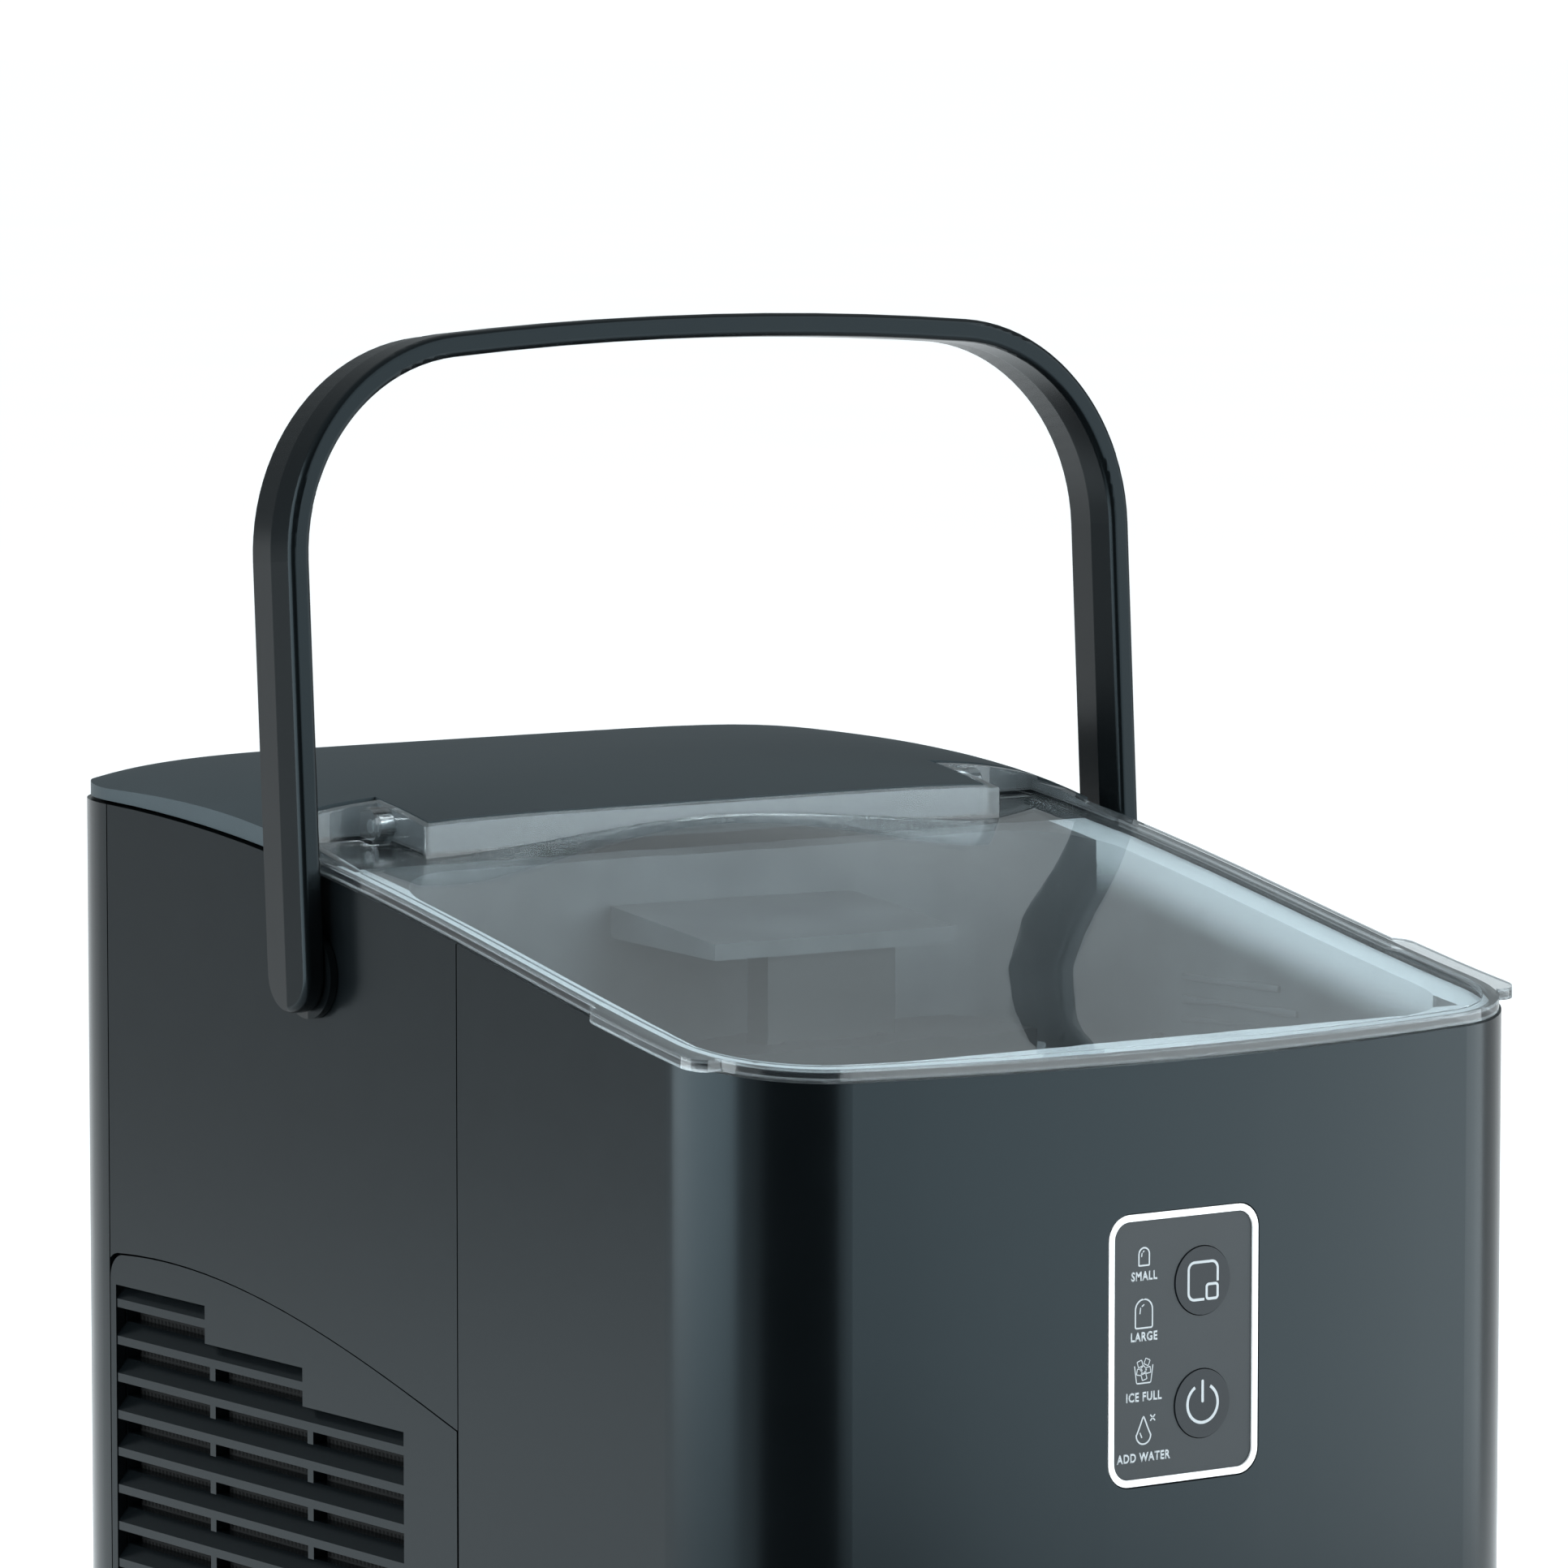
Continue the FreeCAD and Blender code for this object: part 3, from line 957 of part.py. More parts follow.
def make_electrics():
    bracket = box("board_plate", ("104.4", "38", "182"), ("2", "70", "80"))
    node(bracket, "main_board_plate")
    parts = [box("pcb", ("98.5", "42", "186"), ("1.6", "62", "72"))]
    for y, z, w, t in ((46, 190, 18, 22), (70, 190, 14, 14), (48, 218, 24, 16), (80, 222, 16, 22)):
        parts.append(box("board_block", ("86", "%g" % y, "%g" % z), ("12.6", "%g" % w, "%g" % t)))
    posts = [cylinder("pcb_post", "2.4", "4.4", ("100", "%g" % y, "%g" % z), (1, 0, 0))
             for y in (46, 100) for z in (190, 252)]
    node(fuse("main_board", *parts, *posts), "main_board")
    gland = fuse("gland", cylinder("gland_sleeve", "6", "7.4", ("68", "bodyDepth / 2 - 7.6", "34"), (0, 1, 0)),
                 cylinder("gland_flange", "8.6", "3", ("68", "bodyDepth / 2 - 5.6", "34"), (0, 1, 0)))
    bore = cylinder("gland_bore", "3.5", "20", ("68", "bodyDepth / 2 - 12", "34"), (0, 1, 0))
    node(cut("cord_gland", gland, bore), "cord_gland")
    screws = []
    for x, y in ((-98, -100), (98, -100), (-98, 100), (98, 100), (0, -138), (0, 138)):
        screws.append(cone("base_screw", "3.4", "1.6", "3.2", ("%g" % x, "%g" % y, "footHeight - 1.2")))
    node(group("base_screws", screws), "base_screws")


def finish():
    doc.recompute()
    problems = [item.Name for item in doc.Objects if "Invalid" in item.State or "Error" in item.State]
    problems += [item.Label for item in NODES if item.Shape.isNull() or not item.Shape.isValid()]
    if problems:
        raise SystemExit("these objects failed: " + ", ".join(problems))
    os.makedirs("parts", exist_ok=True)
    for item in NODES:
        shape = item.Shape
        shape.exportStep("parts/%s.step" % item.Label)
        print("%-22s solids %2d  volume %9.1f mm3" % (item.Label, len(shape.Solids), shape.Volume))


def main():
    make_base()
    make_shells()
    make_grille("left", -1)
    make_grille("right", 1)
    make_cover()
    make_lid()
    make_handle()
    make_liner()
    make_evaporator()
    motor, socket = make_tray()
    node(cut("tray_motor", motor, socket), "tray_motor")
    make_pusher()
    make_basket()
    make_sensors()
    make_panel()
    make_compressor()
    make_cooling()
    make_plumbing()
    make_electrics()
    finish()


main()
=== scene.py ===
import math

import bmesh
import bpy
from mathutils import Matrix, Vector


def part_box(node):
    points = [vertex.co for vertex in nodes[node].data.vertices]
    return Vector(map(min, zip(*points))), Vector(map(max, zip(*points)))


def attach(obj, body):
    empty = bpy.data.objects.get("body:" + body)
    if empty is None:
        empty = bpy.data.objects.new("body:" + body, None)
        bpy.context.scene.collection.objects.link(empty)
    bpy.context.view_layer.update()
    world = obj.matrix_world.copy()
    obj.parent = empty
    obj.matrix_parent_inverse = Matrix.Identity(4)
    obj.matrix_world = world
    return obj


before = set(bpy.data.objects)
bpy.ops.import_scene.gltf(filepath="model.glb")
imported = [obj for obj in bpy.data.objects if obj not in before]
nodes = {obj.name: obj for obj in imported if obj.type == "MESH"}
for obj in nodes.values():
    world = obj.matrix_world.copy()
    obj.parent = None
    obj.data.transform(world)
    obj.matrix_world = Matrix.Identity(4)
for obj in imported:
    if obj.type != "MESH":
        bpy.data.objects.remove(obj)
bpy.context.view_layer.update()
millimetre = 0.001
print("frame:", len(nodes), "CAD nodes")


def deselectAll():
    for other in bpy.context.selected_objects:
        other.select_set(False)


def startPiece(name):
    # takes the primitive just added as a new piece and opens it in edit mode
    piece = bpy.context.active_object
    piece.name = name
    piece.data.name = name
    bpy.ops.object.mode_set(mode="EDIT")
    return piece


def pick(piece, kind, test):
    # selects the faces or vertices that pass the test on their place
    bpy.ops.mesh.select_all(action="DESELECT")
    bpy.ops.mesh.select_mode(type={"faces": "FACE", "verts": "VERT"}[kind])
    mesh = bmesh.from_edit_mesh(piece.data)
    for part in getattr(mesh, kind):
        if kind == "faces":
            chosen = test(part.calc_center_median(), part.normal)
        else:
            chosen = test(part.co, part)
        if chosen:
            part.select_set(True)
    mesh.select_flush_mode()
    bmesh.update_edit_mesh(piece.data)


def closePiece(piece, body, finish, smoothAngle=35):
    # leaves edit mode, puts the place into the mesh and hands the piece to its CAD body
    bpy.ops.object.mode_set(mode="OBJECT")
    deselectAll()
    piece.select_set(True)
    bpy.context.view_layer.objects.active = piece
    bpy.ops.object.transform_apply(location=True, rotation=True, scale=True)
    if smoothAngle:
        bpy.ops.object.shade_smooth_by_angle(angle=math.radians(smoothAngle))
    piece.data.materials.clear()
    piece.data.materials.append(finish)
    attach(piece, body)
    piece.select_set(False)


class Wire:
    # one output of a node, and the sums that can be made with it
    def __init__(self, sheet, socket):
        self.sheet = sheet
        self.socket = socket

    def sum(self, operation, first, second):
        return self.sheet.add("ShaderNodeMath", {"operation": operation}, {0: first, 1: second})

    def __add__(self, other):
        return self.sum("ADD", self, other)

    def __radd__(self, other):
        return self.sum("ADD", other, self)

    def __sub__(self, other):
        return self.sum("SUBTRACT", self, other)

    def __rsub__(self, other):
        return self.sum("SUBTRACT", other, self)

    def __mul__(self, other):
        return self.sum("MULTIPLY", self, other)

    def __rmul__(self, other):
        return self.sum("MULTIPLY", other, self)

    def __getitem__(self, name):
        return Wire(self.sheet, self.socket.node.outputs[name])


class Sheet:
    # the node tree of a material or of the world
    def __init__(self, owner):
        owner.use_nodes = True
        self.tree = owner.node_tree
        self.tree.nodes.clear()

    def add(self, nodeType, settings, sockets):
        # makes a node, wires it up and gives its first output in use
        node = self.tree.nodes.new(nodeType)
        for name, value in settings.items():
            setattr(node, name, value)
        for name, value in sockets.items():
            if isinstance(value, Wire):
                self.tree.links.new(value.socket, node.inputs[name])
            else:
                node.inputs[name].default_value = value
        for output in node.outputs:
            if output.enabled:
                return Wire(self, output)
        return None


def colour(red, green, blue):
    return (red, green, blue, 1.0)


def mixColours(sheet, factor, first, second):
    return sheet.add("ShaderNodeMix", {"data_type": "RGBA"},
                     {"Factor": factor, "A": first, "B": second})["Result"]


plasticGrain = {"scale": 2600.0, "mottle": 90.0, "depth": 0.2 * millimetre, "detail": 3.0}


def grainBump(sheet, place, strength, scale=plasticGrain["scale"], **sockets):
    # the fine grain that every moulded surface has
    fine = sheet.add("ShaderNodeTexNoise", {}, {"Vector": place, "Scale": scale})
    return sheet.add("ShaderNodeBump", {}, {
        "Strength": strength, "Distance": plasticGrain["depth"], "Height": fine, **sockets})


def moulded(name, base, roughness, grain=0.03, spread=0.04, shade=0.12, metallic=0.0,
            tint=None, gloss=0.5):
    # moulded or painted surface: fine grain in the bump, slow mottling in gloss and colour
    material = bpy.data.materials.new(name)
    sheet = Sheet(material)
    place = sheet.add("ShaderNodeTexCoord", {}, {})["Object"]
    mottle = sheet.add("ShaderNodeTexNoise", {}, {
        "Vector": place, "Scale": plasticGrain["mottle"], "Detail": plasticGrain["detail"]})
    darker = colour(*[part * (1 - shade) for part in base])
    lighter = colour(*[part * (1 + shade) for part in base])
    settings = {
        "Base Color": mixColours(sheet, mottle, darker, lighter),
        "Roughness": roughness - spread / 2 + mottle * spread,
        "Metallic": metallic,
        "Normal": grainBump(sheet, place, grain),
        "Specular IOR Level": gloss,
    }
    if tint:
        settings["Specular Tint"] = colour(*tint)
    surface = sheet.add("ShaderNodeBsdfPrincipled", {}, settings)
    sheet.add("ShaderNodeOutputMaterial", {}, {"Surface": surface})
    return material


edgeLine = {"height": 0.2789, "slope": 0.186, "second": 0.475, "third": 2.2, "fourth": 6.0}


def aboveEdge(sheet, apart):
    # height above the casing's sloping top edge, whose line is one curve from back to front
    y = apart["Y"]
    bow = y * (y * edgeLine["fourth"] - edgeLine["third"]) - edgeLine["second"]
    return apart["Z"] - (edgeLine["height"] + y * (edgeLine["slope"] + y * bow))


def rise(sheet, value, low, high):
    # 0 below low, 1 above high, smooth between them
    return sheet.add("ShaderNodeMapRange", {"interpolation_type": "SMOOTHSTEP"},
                     {"Value": value, "From Min": low, "From Max": high})


def band(sheet, value, low, high, soft):
    # 1 between low and high, fading over soft at both ends
    up = rise(sheet, value, low - soft, low + soft)
    return up * (1 - rise(sheet, value, high - soft, high + soft))


def faceDirection(sheet):
    # the parts of the direction that a face looks in
    normal = sheet.add("ShaderNodeNewGeometry", {}, {})["Normal"]
    return sheet.add("ShaderNodeSeparateXYZ", {}, {0: normal})


lidLook = {
    "tint": (0.74, 0.77, 0.78),
    "haze": (0.46, 0.50, 0.52),
    # painted shade: the dark colour laid into the rim's groove
    "groove": (0.006, 0.007, 0.008),
    "bending": 1.45,
    "roughness": 0.012,
    "mirror": 0.3,
    "hazeRoughness": 0.12,
    "wave": {"Scale": 12.0, "Detail": 1.0},
    "waveBump": {"Strength": 0.16, "Distance": 3.0 * millimetre},
    "wall": (0.35, 0.85),         # how upright a face starts and ends counting as a wall
    "grooveBand": (0.9 * millimetre, 2.4 * millimetre, 0.2 * millimetre),
    "topMilk": 0.015,
    "wallMilk": 0.06,
    "grooveMilk": 0.50,
    "wallClear": 0.60,            # share of a wall that doesn't mirror
}


def clearLid(name):
    # smoked clear plastic that bends what lies under it and lets the lamps through;
    # upright walls are a little milky, and a dark band along the rim is painted shade of its groove
    material = bpy.data.materials.new(name)
    sheet = Sheet(material)
    tint = colour(*lidLook["tint"])
    place = sheet.add("ShaderNodeTexCoord", {}, {})["Object"]
    apart = sheet.add("ShaderNodeSeparateXYZ", {}, {0: place})
    level = sheet.add("ShaderNodeMath", {"operation": "ABSOLUTE"}, {0: faceDirection(sheet)["Z"]})
    upright = rise(sheet, 1 - level, *lidLook["wall"])
    wave = sheet.add("ShaderNodeTexNoise", {}, {"Vector": place, **lidLook["wave"]})
    wavy = sheet.add("ShaderNodeBump", {}, {"Height": wave, **lidLook["waveBump"]})
    # painted shade: a dark band low on the upright walls, just above the casing's edge, stands in for the
    # groove's shade
    groove = band(sheet, aboveEdge(sheet, apart), *lidLook["grooveBand"]) * upright
    clear = sheet.add("ShaderNodeBsdfPrincipled", {}, {
        "Base Color": tint, "Transmission Weight": 1.0, "IOR": lidLook["bending"],
        "Roughness": lidLook["roughness"], "Specular IOR Level": lidLook["mirror"], "Normal": wavy})
    milk = sheet.add("ShaderNodeBsdfPrincipled", {}, {
        "Base Color": mixColours(sheet, groove, colour(*lidLook["haze"]), colour(*lidLook["groove"])),
        "Roughness": lidLook["hazeRoughness"]})
    through = sheet.add("ShaderNodeBsdfTransparent", {}, {"Color": tint})
    soft = sheet.add("ShaderNodeMixShader", {}, {0: upright * lidLook["wallClear"], 1: clear, 2: through})
    milkShare = lidLook["topMilk"] + upright * lidLook["wallMilk"] + groove * lidLook["grooveMilk"]
    body = sheet.add("ShaderNodeMixShader", {}, {0: milkShare, 1: soft, 2: milk})
    lampRay = sheet.add("ShaderNodeLightPath", {}, {})["Is Shadow Ray"]
    surface = sheet.add("ShaderNodeMixShader", {}, {0: lampRay, 1: body, 2: through})
    sheet.add("ShaderNodeOutputMaterial", {}, {"Surface": surface})
    return material


linerLook = {
    "rim": (0.82, 0.87, 0.89),
    # painted shade inside the tub; the liner's own colour is the rim's
    "deep": (0.05, 0.056, 0.06),
    "roughness": 0.34,
    "grain": 0.03,
    "grainScale": 2200.0,
    "mottle": {"Scale": 60.0, "Detail": 3.0},
    "stain": 0.2,                 # share and darkness of the mottling
    "stainShade": 0.7,
    "stainGloss": 0.05,
    "rimFade": (-16.0 * millimetre, -4.0 * millimetre),
    "tubSide": 97.0 * millimetre,
    "tubFront": -124.0 * millimetre,
    # painted shade: faces that look up, the tub's floor, are darker than its walls
    "levelFade": (0.4, 0.9),      # faces that look up are darker than walls
    "levelShade": 0.35,
}


def tubLiner(name):
    # pale on the rim outside the tub, with painted shade that darkens it down its walls and most on its
    # floor
    material = bpy.data.materials.new(name)
    sheet = Sheet(material)
    place = sheet.add("ShaderNodeTexCoord", {}, {})["Object"]
    apart = sheet.add("ShaderNodeSeparateXYZ", {}, {0: place})
    share = rise(sheet, aboveEdge(sheet, apart), *linerLook["rimFade"])
    beside = sheet.add("ShaderNodeMath", {"operation": "ABSOLUTE"}, {0: apart["X"]}) - linerLook["tubSide"]
    outer = sheet.add("ShaderNodeMath", {"operation": "MAXIMUM"},
                      {0: beside, 1: linerLook["tubFront"] - apart["Y"]})
    share = share * sheet.add("ShaderNodeMath", {"operation": "GREATER_THAN"}, {0: outer, 1: 0.0})
    mottle = sheet.add("ShaderNodeTexNoise", {}, {"Vector": place, **linerLook["mottle"]})
    level = rise(sheet, faceDirection(sheet)["Z"], *linerLook["levelFade"])
    floorShade = colour(*[part * linerLook["levelShade"] for part in linerLook["deep"]])
    stained = colour(*[part * linerLook["stainShade"] for part in linerLook["rim"]])
    # painted shade: walls inside the tub take the dark colour, floors darker still
    shade = mixColours(sheet, level, colour(*linerLook["deep"]), floorShade)
    shade = mixColours(sheet, share, shade, colour(*linerLook["rim"]))
    shade = mixColours(sheet, mottle * linerLook["stain"], shade, stained)
    surface = sheet.add("ShaderNodeBsdfPrincipled", {}, {
        "Base Color": shade, "Roughness": linerLook["roughness"] + mottle * linerLook["stainGloss"],
        "Normal": grainBump(sheet, place, linerLook["grain"], linerLook["grainScale"])})
    sheet.add("ShaderNodeOutputMaterial", {}, {"Surface": surface})
    return material


bandLook = {
    "base": (0.0016, 0.0021, 0.0024),
    "shade": 0.85,
    "roughness": 0.24,
    "spread": 0.03,
    "gloss": 0.09,
    "grain": 0.02,
    "lean": math.radians(3.35),   # the handle's legs lean back
    "middleY": 27.0 * millimetre,
    "pivotZ": 260.7 * millimetre,
    "creaseTurn": -0.30,
    "creaseSoft": 0.6 * millimetre,
}


def bandPlastic(name, tint):
    # handle band: satin, with a crease along its middle where the rear half of each face turns away
    material = bpy.data.materials.new(name)
    sheet = Sheet(material)
    place = sheet.add("ShaderNodeTexCoord", {}, {})["Object"]
    apart = sheet.add("ShaderNodeSeparateXYZ", {}, {0: place})
    across = ((apart["Y"] - bandLook["middleY"]) * math.cos(bandLook["lean"])
              - (apart["Z"] - bandLook["pivotZ"]) * math.sin(bandLook["lean"]))
    rear = sheet.add("ShaderNodeMath", {"operation": "SMOOTH_MAX"},
                     {0: across, 1: 0.0, 2: bandLook["creaseSoft"]})
    crease = sheet.add("ShaderNodeBump", {}, {
        "Strength": 1.0, "Distance": 1.0, "Height": rear * bandLook["creaseTurn"]})
    mottle = sheet.add("ShaderNodeTexNoise", {}, {
        "Vector": place, "Scale": plasticGrain["mottle"], "Detail": plasticGrain["detail"]})
    darker = colour(*[part * bandLook["shade"] for part in bandLook["base"]])
    surface = sheet.add("ShaderNodeBsdfPrincipled", {}, {
        "Base Color": mixColours(sheet, mottle, darker, colour(*bandLook["base"])),
        "Roughness": bandLook["roughness"] + mottle * bandLook["spread"],
        "Specular IOR Level": bandLook["gloss"],
        "Specular Tint": colour(*tint),
        "Normal": grainBump(sheet, place, bandLook["grain"], Normal=crease)})
    sheet.add("ShaderNodeOutputMaterial", {}, {"Surface": surface})
    return material


coolTint = (0.74, 0.94, 1.04)
finishes = {
    "base_plastic": moulded("basePlastic", (0.012, 0.014, 0.015), 0.42),
    "casing": moulded("satinCasing", (0.0014, 0.0019, 0.0022), 0.22, grain=0.02, tint=coolTint, gloss=0.13),
    "cover": moulded("matteCover", (0.014, 0.018, 0.020), 0.55, grain=0.12, tint=coolTint, gloss=0.24),
    "clear_lid": clearLid("smokedLid"),
    "steel": moulded("plainSteel", (0.56, 0.57, 0.58), 0.32, metallic=1.0),
    "handle": bandPlastic("satinHandle", coolTint),
    "bushing": moulded("bushingPlastic", (0.002, 0.0026, 0.003), 0.30, tint=coolTint, gloss=0.2),
    "liner": tubLiner("paleLiner"),
    "foam": moulded("rigidFoam", (0.72, 0.66, 0.50), 0.85, grain=0.5),
    "nickel": moulded("platedNickel", (0.075, 0.077, 0.078), 0.46, metallic=1.0),
    "tray_plastic": moulded("trayPlastic", (0.20, 0.215, 0.225), 0.30),
    "basket_plastic": moulded("basketPlastic", (0.16, 0.175, 0.185), 0.28),
    "black_plastic": moulded("blackPlastic", (0.010, 0.011, 0.012), 0.38),
    "white_ring": moulded("whiteRing", (0.56, 0.56, 0.56), 0.35, grain=0.01, shade=0.02),
    "panel_face": moulded("panelFace", (0.011, 0.014, 0.016), 0.38, grain=0.05, gloss=0.16),
    "button": moulded("buttonCap", (0.008, 0.010, 0.012), 0.36, grain=0.05, gloss=0.13),
    "board": moulded("circuitBoard", (0.02, 0.16, 0.06), 0.45),
    "light_pipe": moulded("lightPipe", (0.75, 0.78, 0.80), 0.20),
    "black_steel": moulded("paintedSteel", (0.010, 0.010, 0.011), 0.30),
    "rubber": moulded("softRubber", (0.018, 0.018, 0.018), 0.62, grain=0.2),
    "aluminium": moulded("rawAluminium", (0.66, 0.67, 0.68), 0.36, metallic=1.0),
    "copper": moulded("copperPipe", (0.72, 0.35, 0.20), 0.28, metallic=1.0),
    "brass": moulded("turnedBrass", (0.66, 0.50, 0.24), 0.26, metallic=1.0),
    "silicone": moulded("clearSilicone", (0.62, 0.64, 0.62), 0.42),
}
for node in nodes.values():
    for slot in node.material_slots:
        slot.material = finishes[slot.material.name.split(".")[0]]
print("materials:", len(finishes))


studio = {
    "floorRadius": 60.0,
    "sky": 1.10,
    "low": 0.27,              # share of the sky's light just above the horizon
    "dim": 0.06,
    "dimAzimuth": 18.0,       # degrees from the front, turning towards the left side
    "dimInner": 31.0,
    "dimOuter": 38.0,
    "topFade": (0.45, 0.80),  # height in the sky where its full light starts and is reached
    "floorGlow": 0.42,
    "floorPale": (0.86, 0.90),
    "floorDark": 0.03,
    "floorMottle": 3.0,
    "light": (0.87, 0.96, 1.0),
}


def frontMask(sheet, towards):
    # 1 in the dim sector in front of the object, 0 elsewhere
    turn = math.radians(studio["dimAzimuth"])
    level = sheet.add("ShaderNodeVectorMath", {"operation": "MULTIPLY"}, {0: towards, 1: (1.0, 1.0, 0.0)})
    level = sheet.add("ShaderNodeVectorMath", {"operation": "NORMALIZE"}, {0: level})
    ahead = sheet.add("ShaderNodeVectorMath", {"operation": "DOT_PRODUCT"},
                      {0: level, 1: (-math.sin(turn), -math.cos(turn), 0.0)})["Value"]
    return rise(sheet, ahead, *[math.cos(math.radians(studio[edge])) for edge in ("dimOuter", "dimInner")])


def makeWorld():
    # soft white surround, dim in front so that the rounded corners read
    world = bpy.data.worlds.new("studio")
    bpy.context.scene.world = world
    sheet = Sheet(world)
    towards = sheet.add("ShaderNodeTexCoord", {}, {})["Generated"]
    height = sheet.add("ShaderNodeSeparateXYZ", {}, {0: towards})["Z"]
    above = rise(sheet, height, *studio["topFade"])
    around = (1 - frontMask(sheet, towards)) * studio["low"]
    lit = sheet.add("ShaderNodeMath", {"operation": "MAXIMUM"}, {0: around, 1: above})
    seen = sheet.add("ShaderNodeLightPath", {}, {})["Is Camera Ray"]
    lit = sheet.add("ShaderNodeMath", {"operation": "MAXIMUM"}, {0: lit, 1: seen})
    strength = studio["dim"] + lit * (studio["sky"] - studio["dim"])
    tone = mixColours(sheet, seen, colour(*studio["light"]), colour(1, 1, 1))
    sky = sheet.add("ShaderNodeBackground", {}, {"Color": tone, "Strength": strength})
    sheet.add("ShaderNodeOutputWorld", {}, {"Surface": sky})


softboxes = {
    "frontRight": {"azimuth": -38, "distance": 0.80, "width": 1.13, "power": 23},
    "left": {"azimuth": 99, "distance": 1.3, "width": 1.4, "power": 51},
}
softboxShape = {"height": 0.60, "tall": 1.2}


def makeSoftbox(name, azimuth, distance, width, power):
    # a large square lamp standing round the object at an azimuth, facing its middle
    lamp = bpy.data.lights.new(name, "AREA")
    lamp.shape = "RECTANGLE"
    lamp.size = width
    lamp.size_y = softboxShape["tall"]
    lamp.energy = power
    lamp.color = studio["light"]
    turn = math.radians(azimuth)
    outwards = Vector((-math.sin(turn), -math.cos(turn), 0))
    holder = bpy.data.objects.new(name, lamp)
    holder.location = outwards * distance + Vector((0, 0, softboxShape["height"]))
    holder.rotation_mode = "QUATERNION"
    holder.rotation_quaternion = (-outwards).to_track_quat("-Z", "Y")
    holder.visible_camera = False
    bpy.context.collection.objects.link(holder)


def makeFloor():
    # pale and faintly glowing; dark in front, but only in reflections
    material = bpy.data.materials.new("paleFloor")
    sheet = Sheet(material)
    place = sheet.add("ShaderNodeTexCoord", {}, {})["Object"]
    mottle = sheet.add("ShaderNodeTexNoise", {}, {"Vector": place, "Scale": studio["floorMottle"]})
    glossy = sheet.add("ShaderNodeLightPath", {}, {})["Is Glossy Ray"]
    tones = [colour(tone, tone, tone) for tone in studio["floorPale"]]
    pale = sheet.add("ShaderNodeBsdfDiffuse", {}, {"Color": mixColours(sheet, mottle, *tones)})
    dark = sheet.add("ShaderNodeBsdfDiffuse", {}, {"Color": colour(*[studio["floorDark"]] * 3)})
    glow = sheet.add("ShaderNodeEmission", {}, {"Color": colour(1, 1, 1), "Strength": studio["floorGlow"]})
    lifted = sheet.add("ShaderNodeAddShader", {}, {0: pale, 1: glow})
    darkShare = frontMask(sheet, place) * glossy
    surface = sheet.add("ShaderNodeMixShader", {}, {0: darkShare, 1: lifted, 2: dark})
    sheet.add("ShaderNodeOutputMaterial", {}, {"Surface": surface})
    deselectAll()
    bpy.ops.mesh.primitive_circle_add(vertices=96, radius=studio["floorRadius"], fill_type="NGON")
    floor = bpy.context.active_object
    floor.name = "studioFloor"
    floor.data.materials.append(material)
    floor.select_set(False)


makeWorld()
makeFloor()
for name, settings in softboxes.items():
    makeSoftbox(name, **settings)
print("studio ready")


view = {
    "place": (-1.10984, -1.55147, 0.47996),
    "azimuth": -35.568,
    "elevation": 5.408,
    "lens": 191.75,
    "sensor": 36.0,
    "nearest": 0.05,
    "farthest": 200.0,
}


def makeCamera():
    data = bpy.data.cameras.new("camera")
    data.lens = view["lens"]
    data.sensor_width = view["sensor"]
    data.clip_start = view["nearest"]
    data.clip_end = view["farthest"]
    camera = bpy.data.objects.new("camera", data)
    turn = math.radians(view["azimuth"])
    tip = math.radians(view["elevation"])
    back = Vector((math.sin(turn) * math.cos(tip), -math.cos(turn) * math.cos(tip), math.sin(tip)))
    camera.location = view["place"]
    camera.rotation_mode = "QUATERNION"
    camera.rotation_quaternion = (-back).to_track_quat("-Z", "Y")
    bpy.context.collection.objects.link(camera)
    bpy.context.scene.camera = camera


makeCamera()
bpy.context.scene.view_settings.view_transform = "Standard"


printing = {
    "thickness": 0.06 * millimetre,
    "line": 0.34 * millimetre,
    "columnX": -10.7 * millimetre,
    "labelHeight": 2.7 * millimetre,
    "labelBold": 0.09 * millimetre,
    "labelNarrow": 0.84,
    "labelSpacing": 1.12,
}
signHeights = {name: height * millimetre for name, height in (
    ("SMALL", 209.1), ("LARGE", 196.7), ("ICE FULL", 183.9), ("ADD WATER", 171.1))}
labelDrops = {name: drop * millimetre for name, drop in (
    ("SMALL", 4.3), ("LARGE", 5.1), ("ICE FULL", 5.4), ("ADD WATER", 5.8))}
ink = moulded("greyInk", (0.22, 0.235, 0.245), 0.45, shade=0.05)


def flatFrame(width, height, corners, line, x=0, y=0, turn=0):
    # rounded outline lying flat: a plane with bevelled corners, inset, and its middle taken out
    bpy.ops.mesh.primitive_plane_add(size=1)
    piece = startPiece("sign")
    bpy.ops.transform.resize(value=(width, height, 1))
    for radius, test in corners:
        pick(piece, "verts", lambda place, part: test(place.x, place.y) and len(part.link_edges) == 2)
        bpy.ops.mesh.bevel(offset=radius, affect="VERTICES", segments=8)
    bpy.ops.mesh.select_all(action="SELECT")
    bpy.ops.mesh.inset(thickness=line)
    bpy.ops.mesh.delete(type="FACE")
    bpy.ops.object.mode_set(mode="OBJECT")
    piece.location = (x, y, 0)
    piece.rotation_euler = (0, 0, math.radians(turn))
    return piece


def flatBar(width, height, x=0, y=0, turn=0):
    # a bar with softened ends
    bpy.ops.mesh.primitive_plane_add(size=1)
    piece = startPiece("sign")
    bpy.ops.transform.resize(value=(width, height, 1))
    bpy.ops.mesh.bevel(offset=min(width, height) * 0.45, affect="VERTICES", segments=4)
    bpy.ops.object.mode_set(mode="OBJECT")
    piece.location = (x, y, 0)
    piece.rotation_euler = (0, 0, math.radians(turn))
    return piece


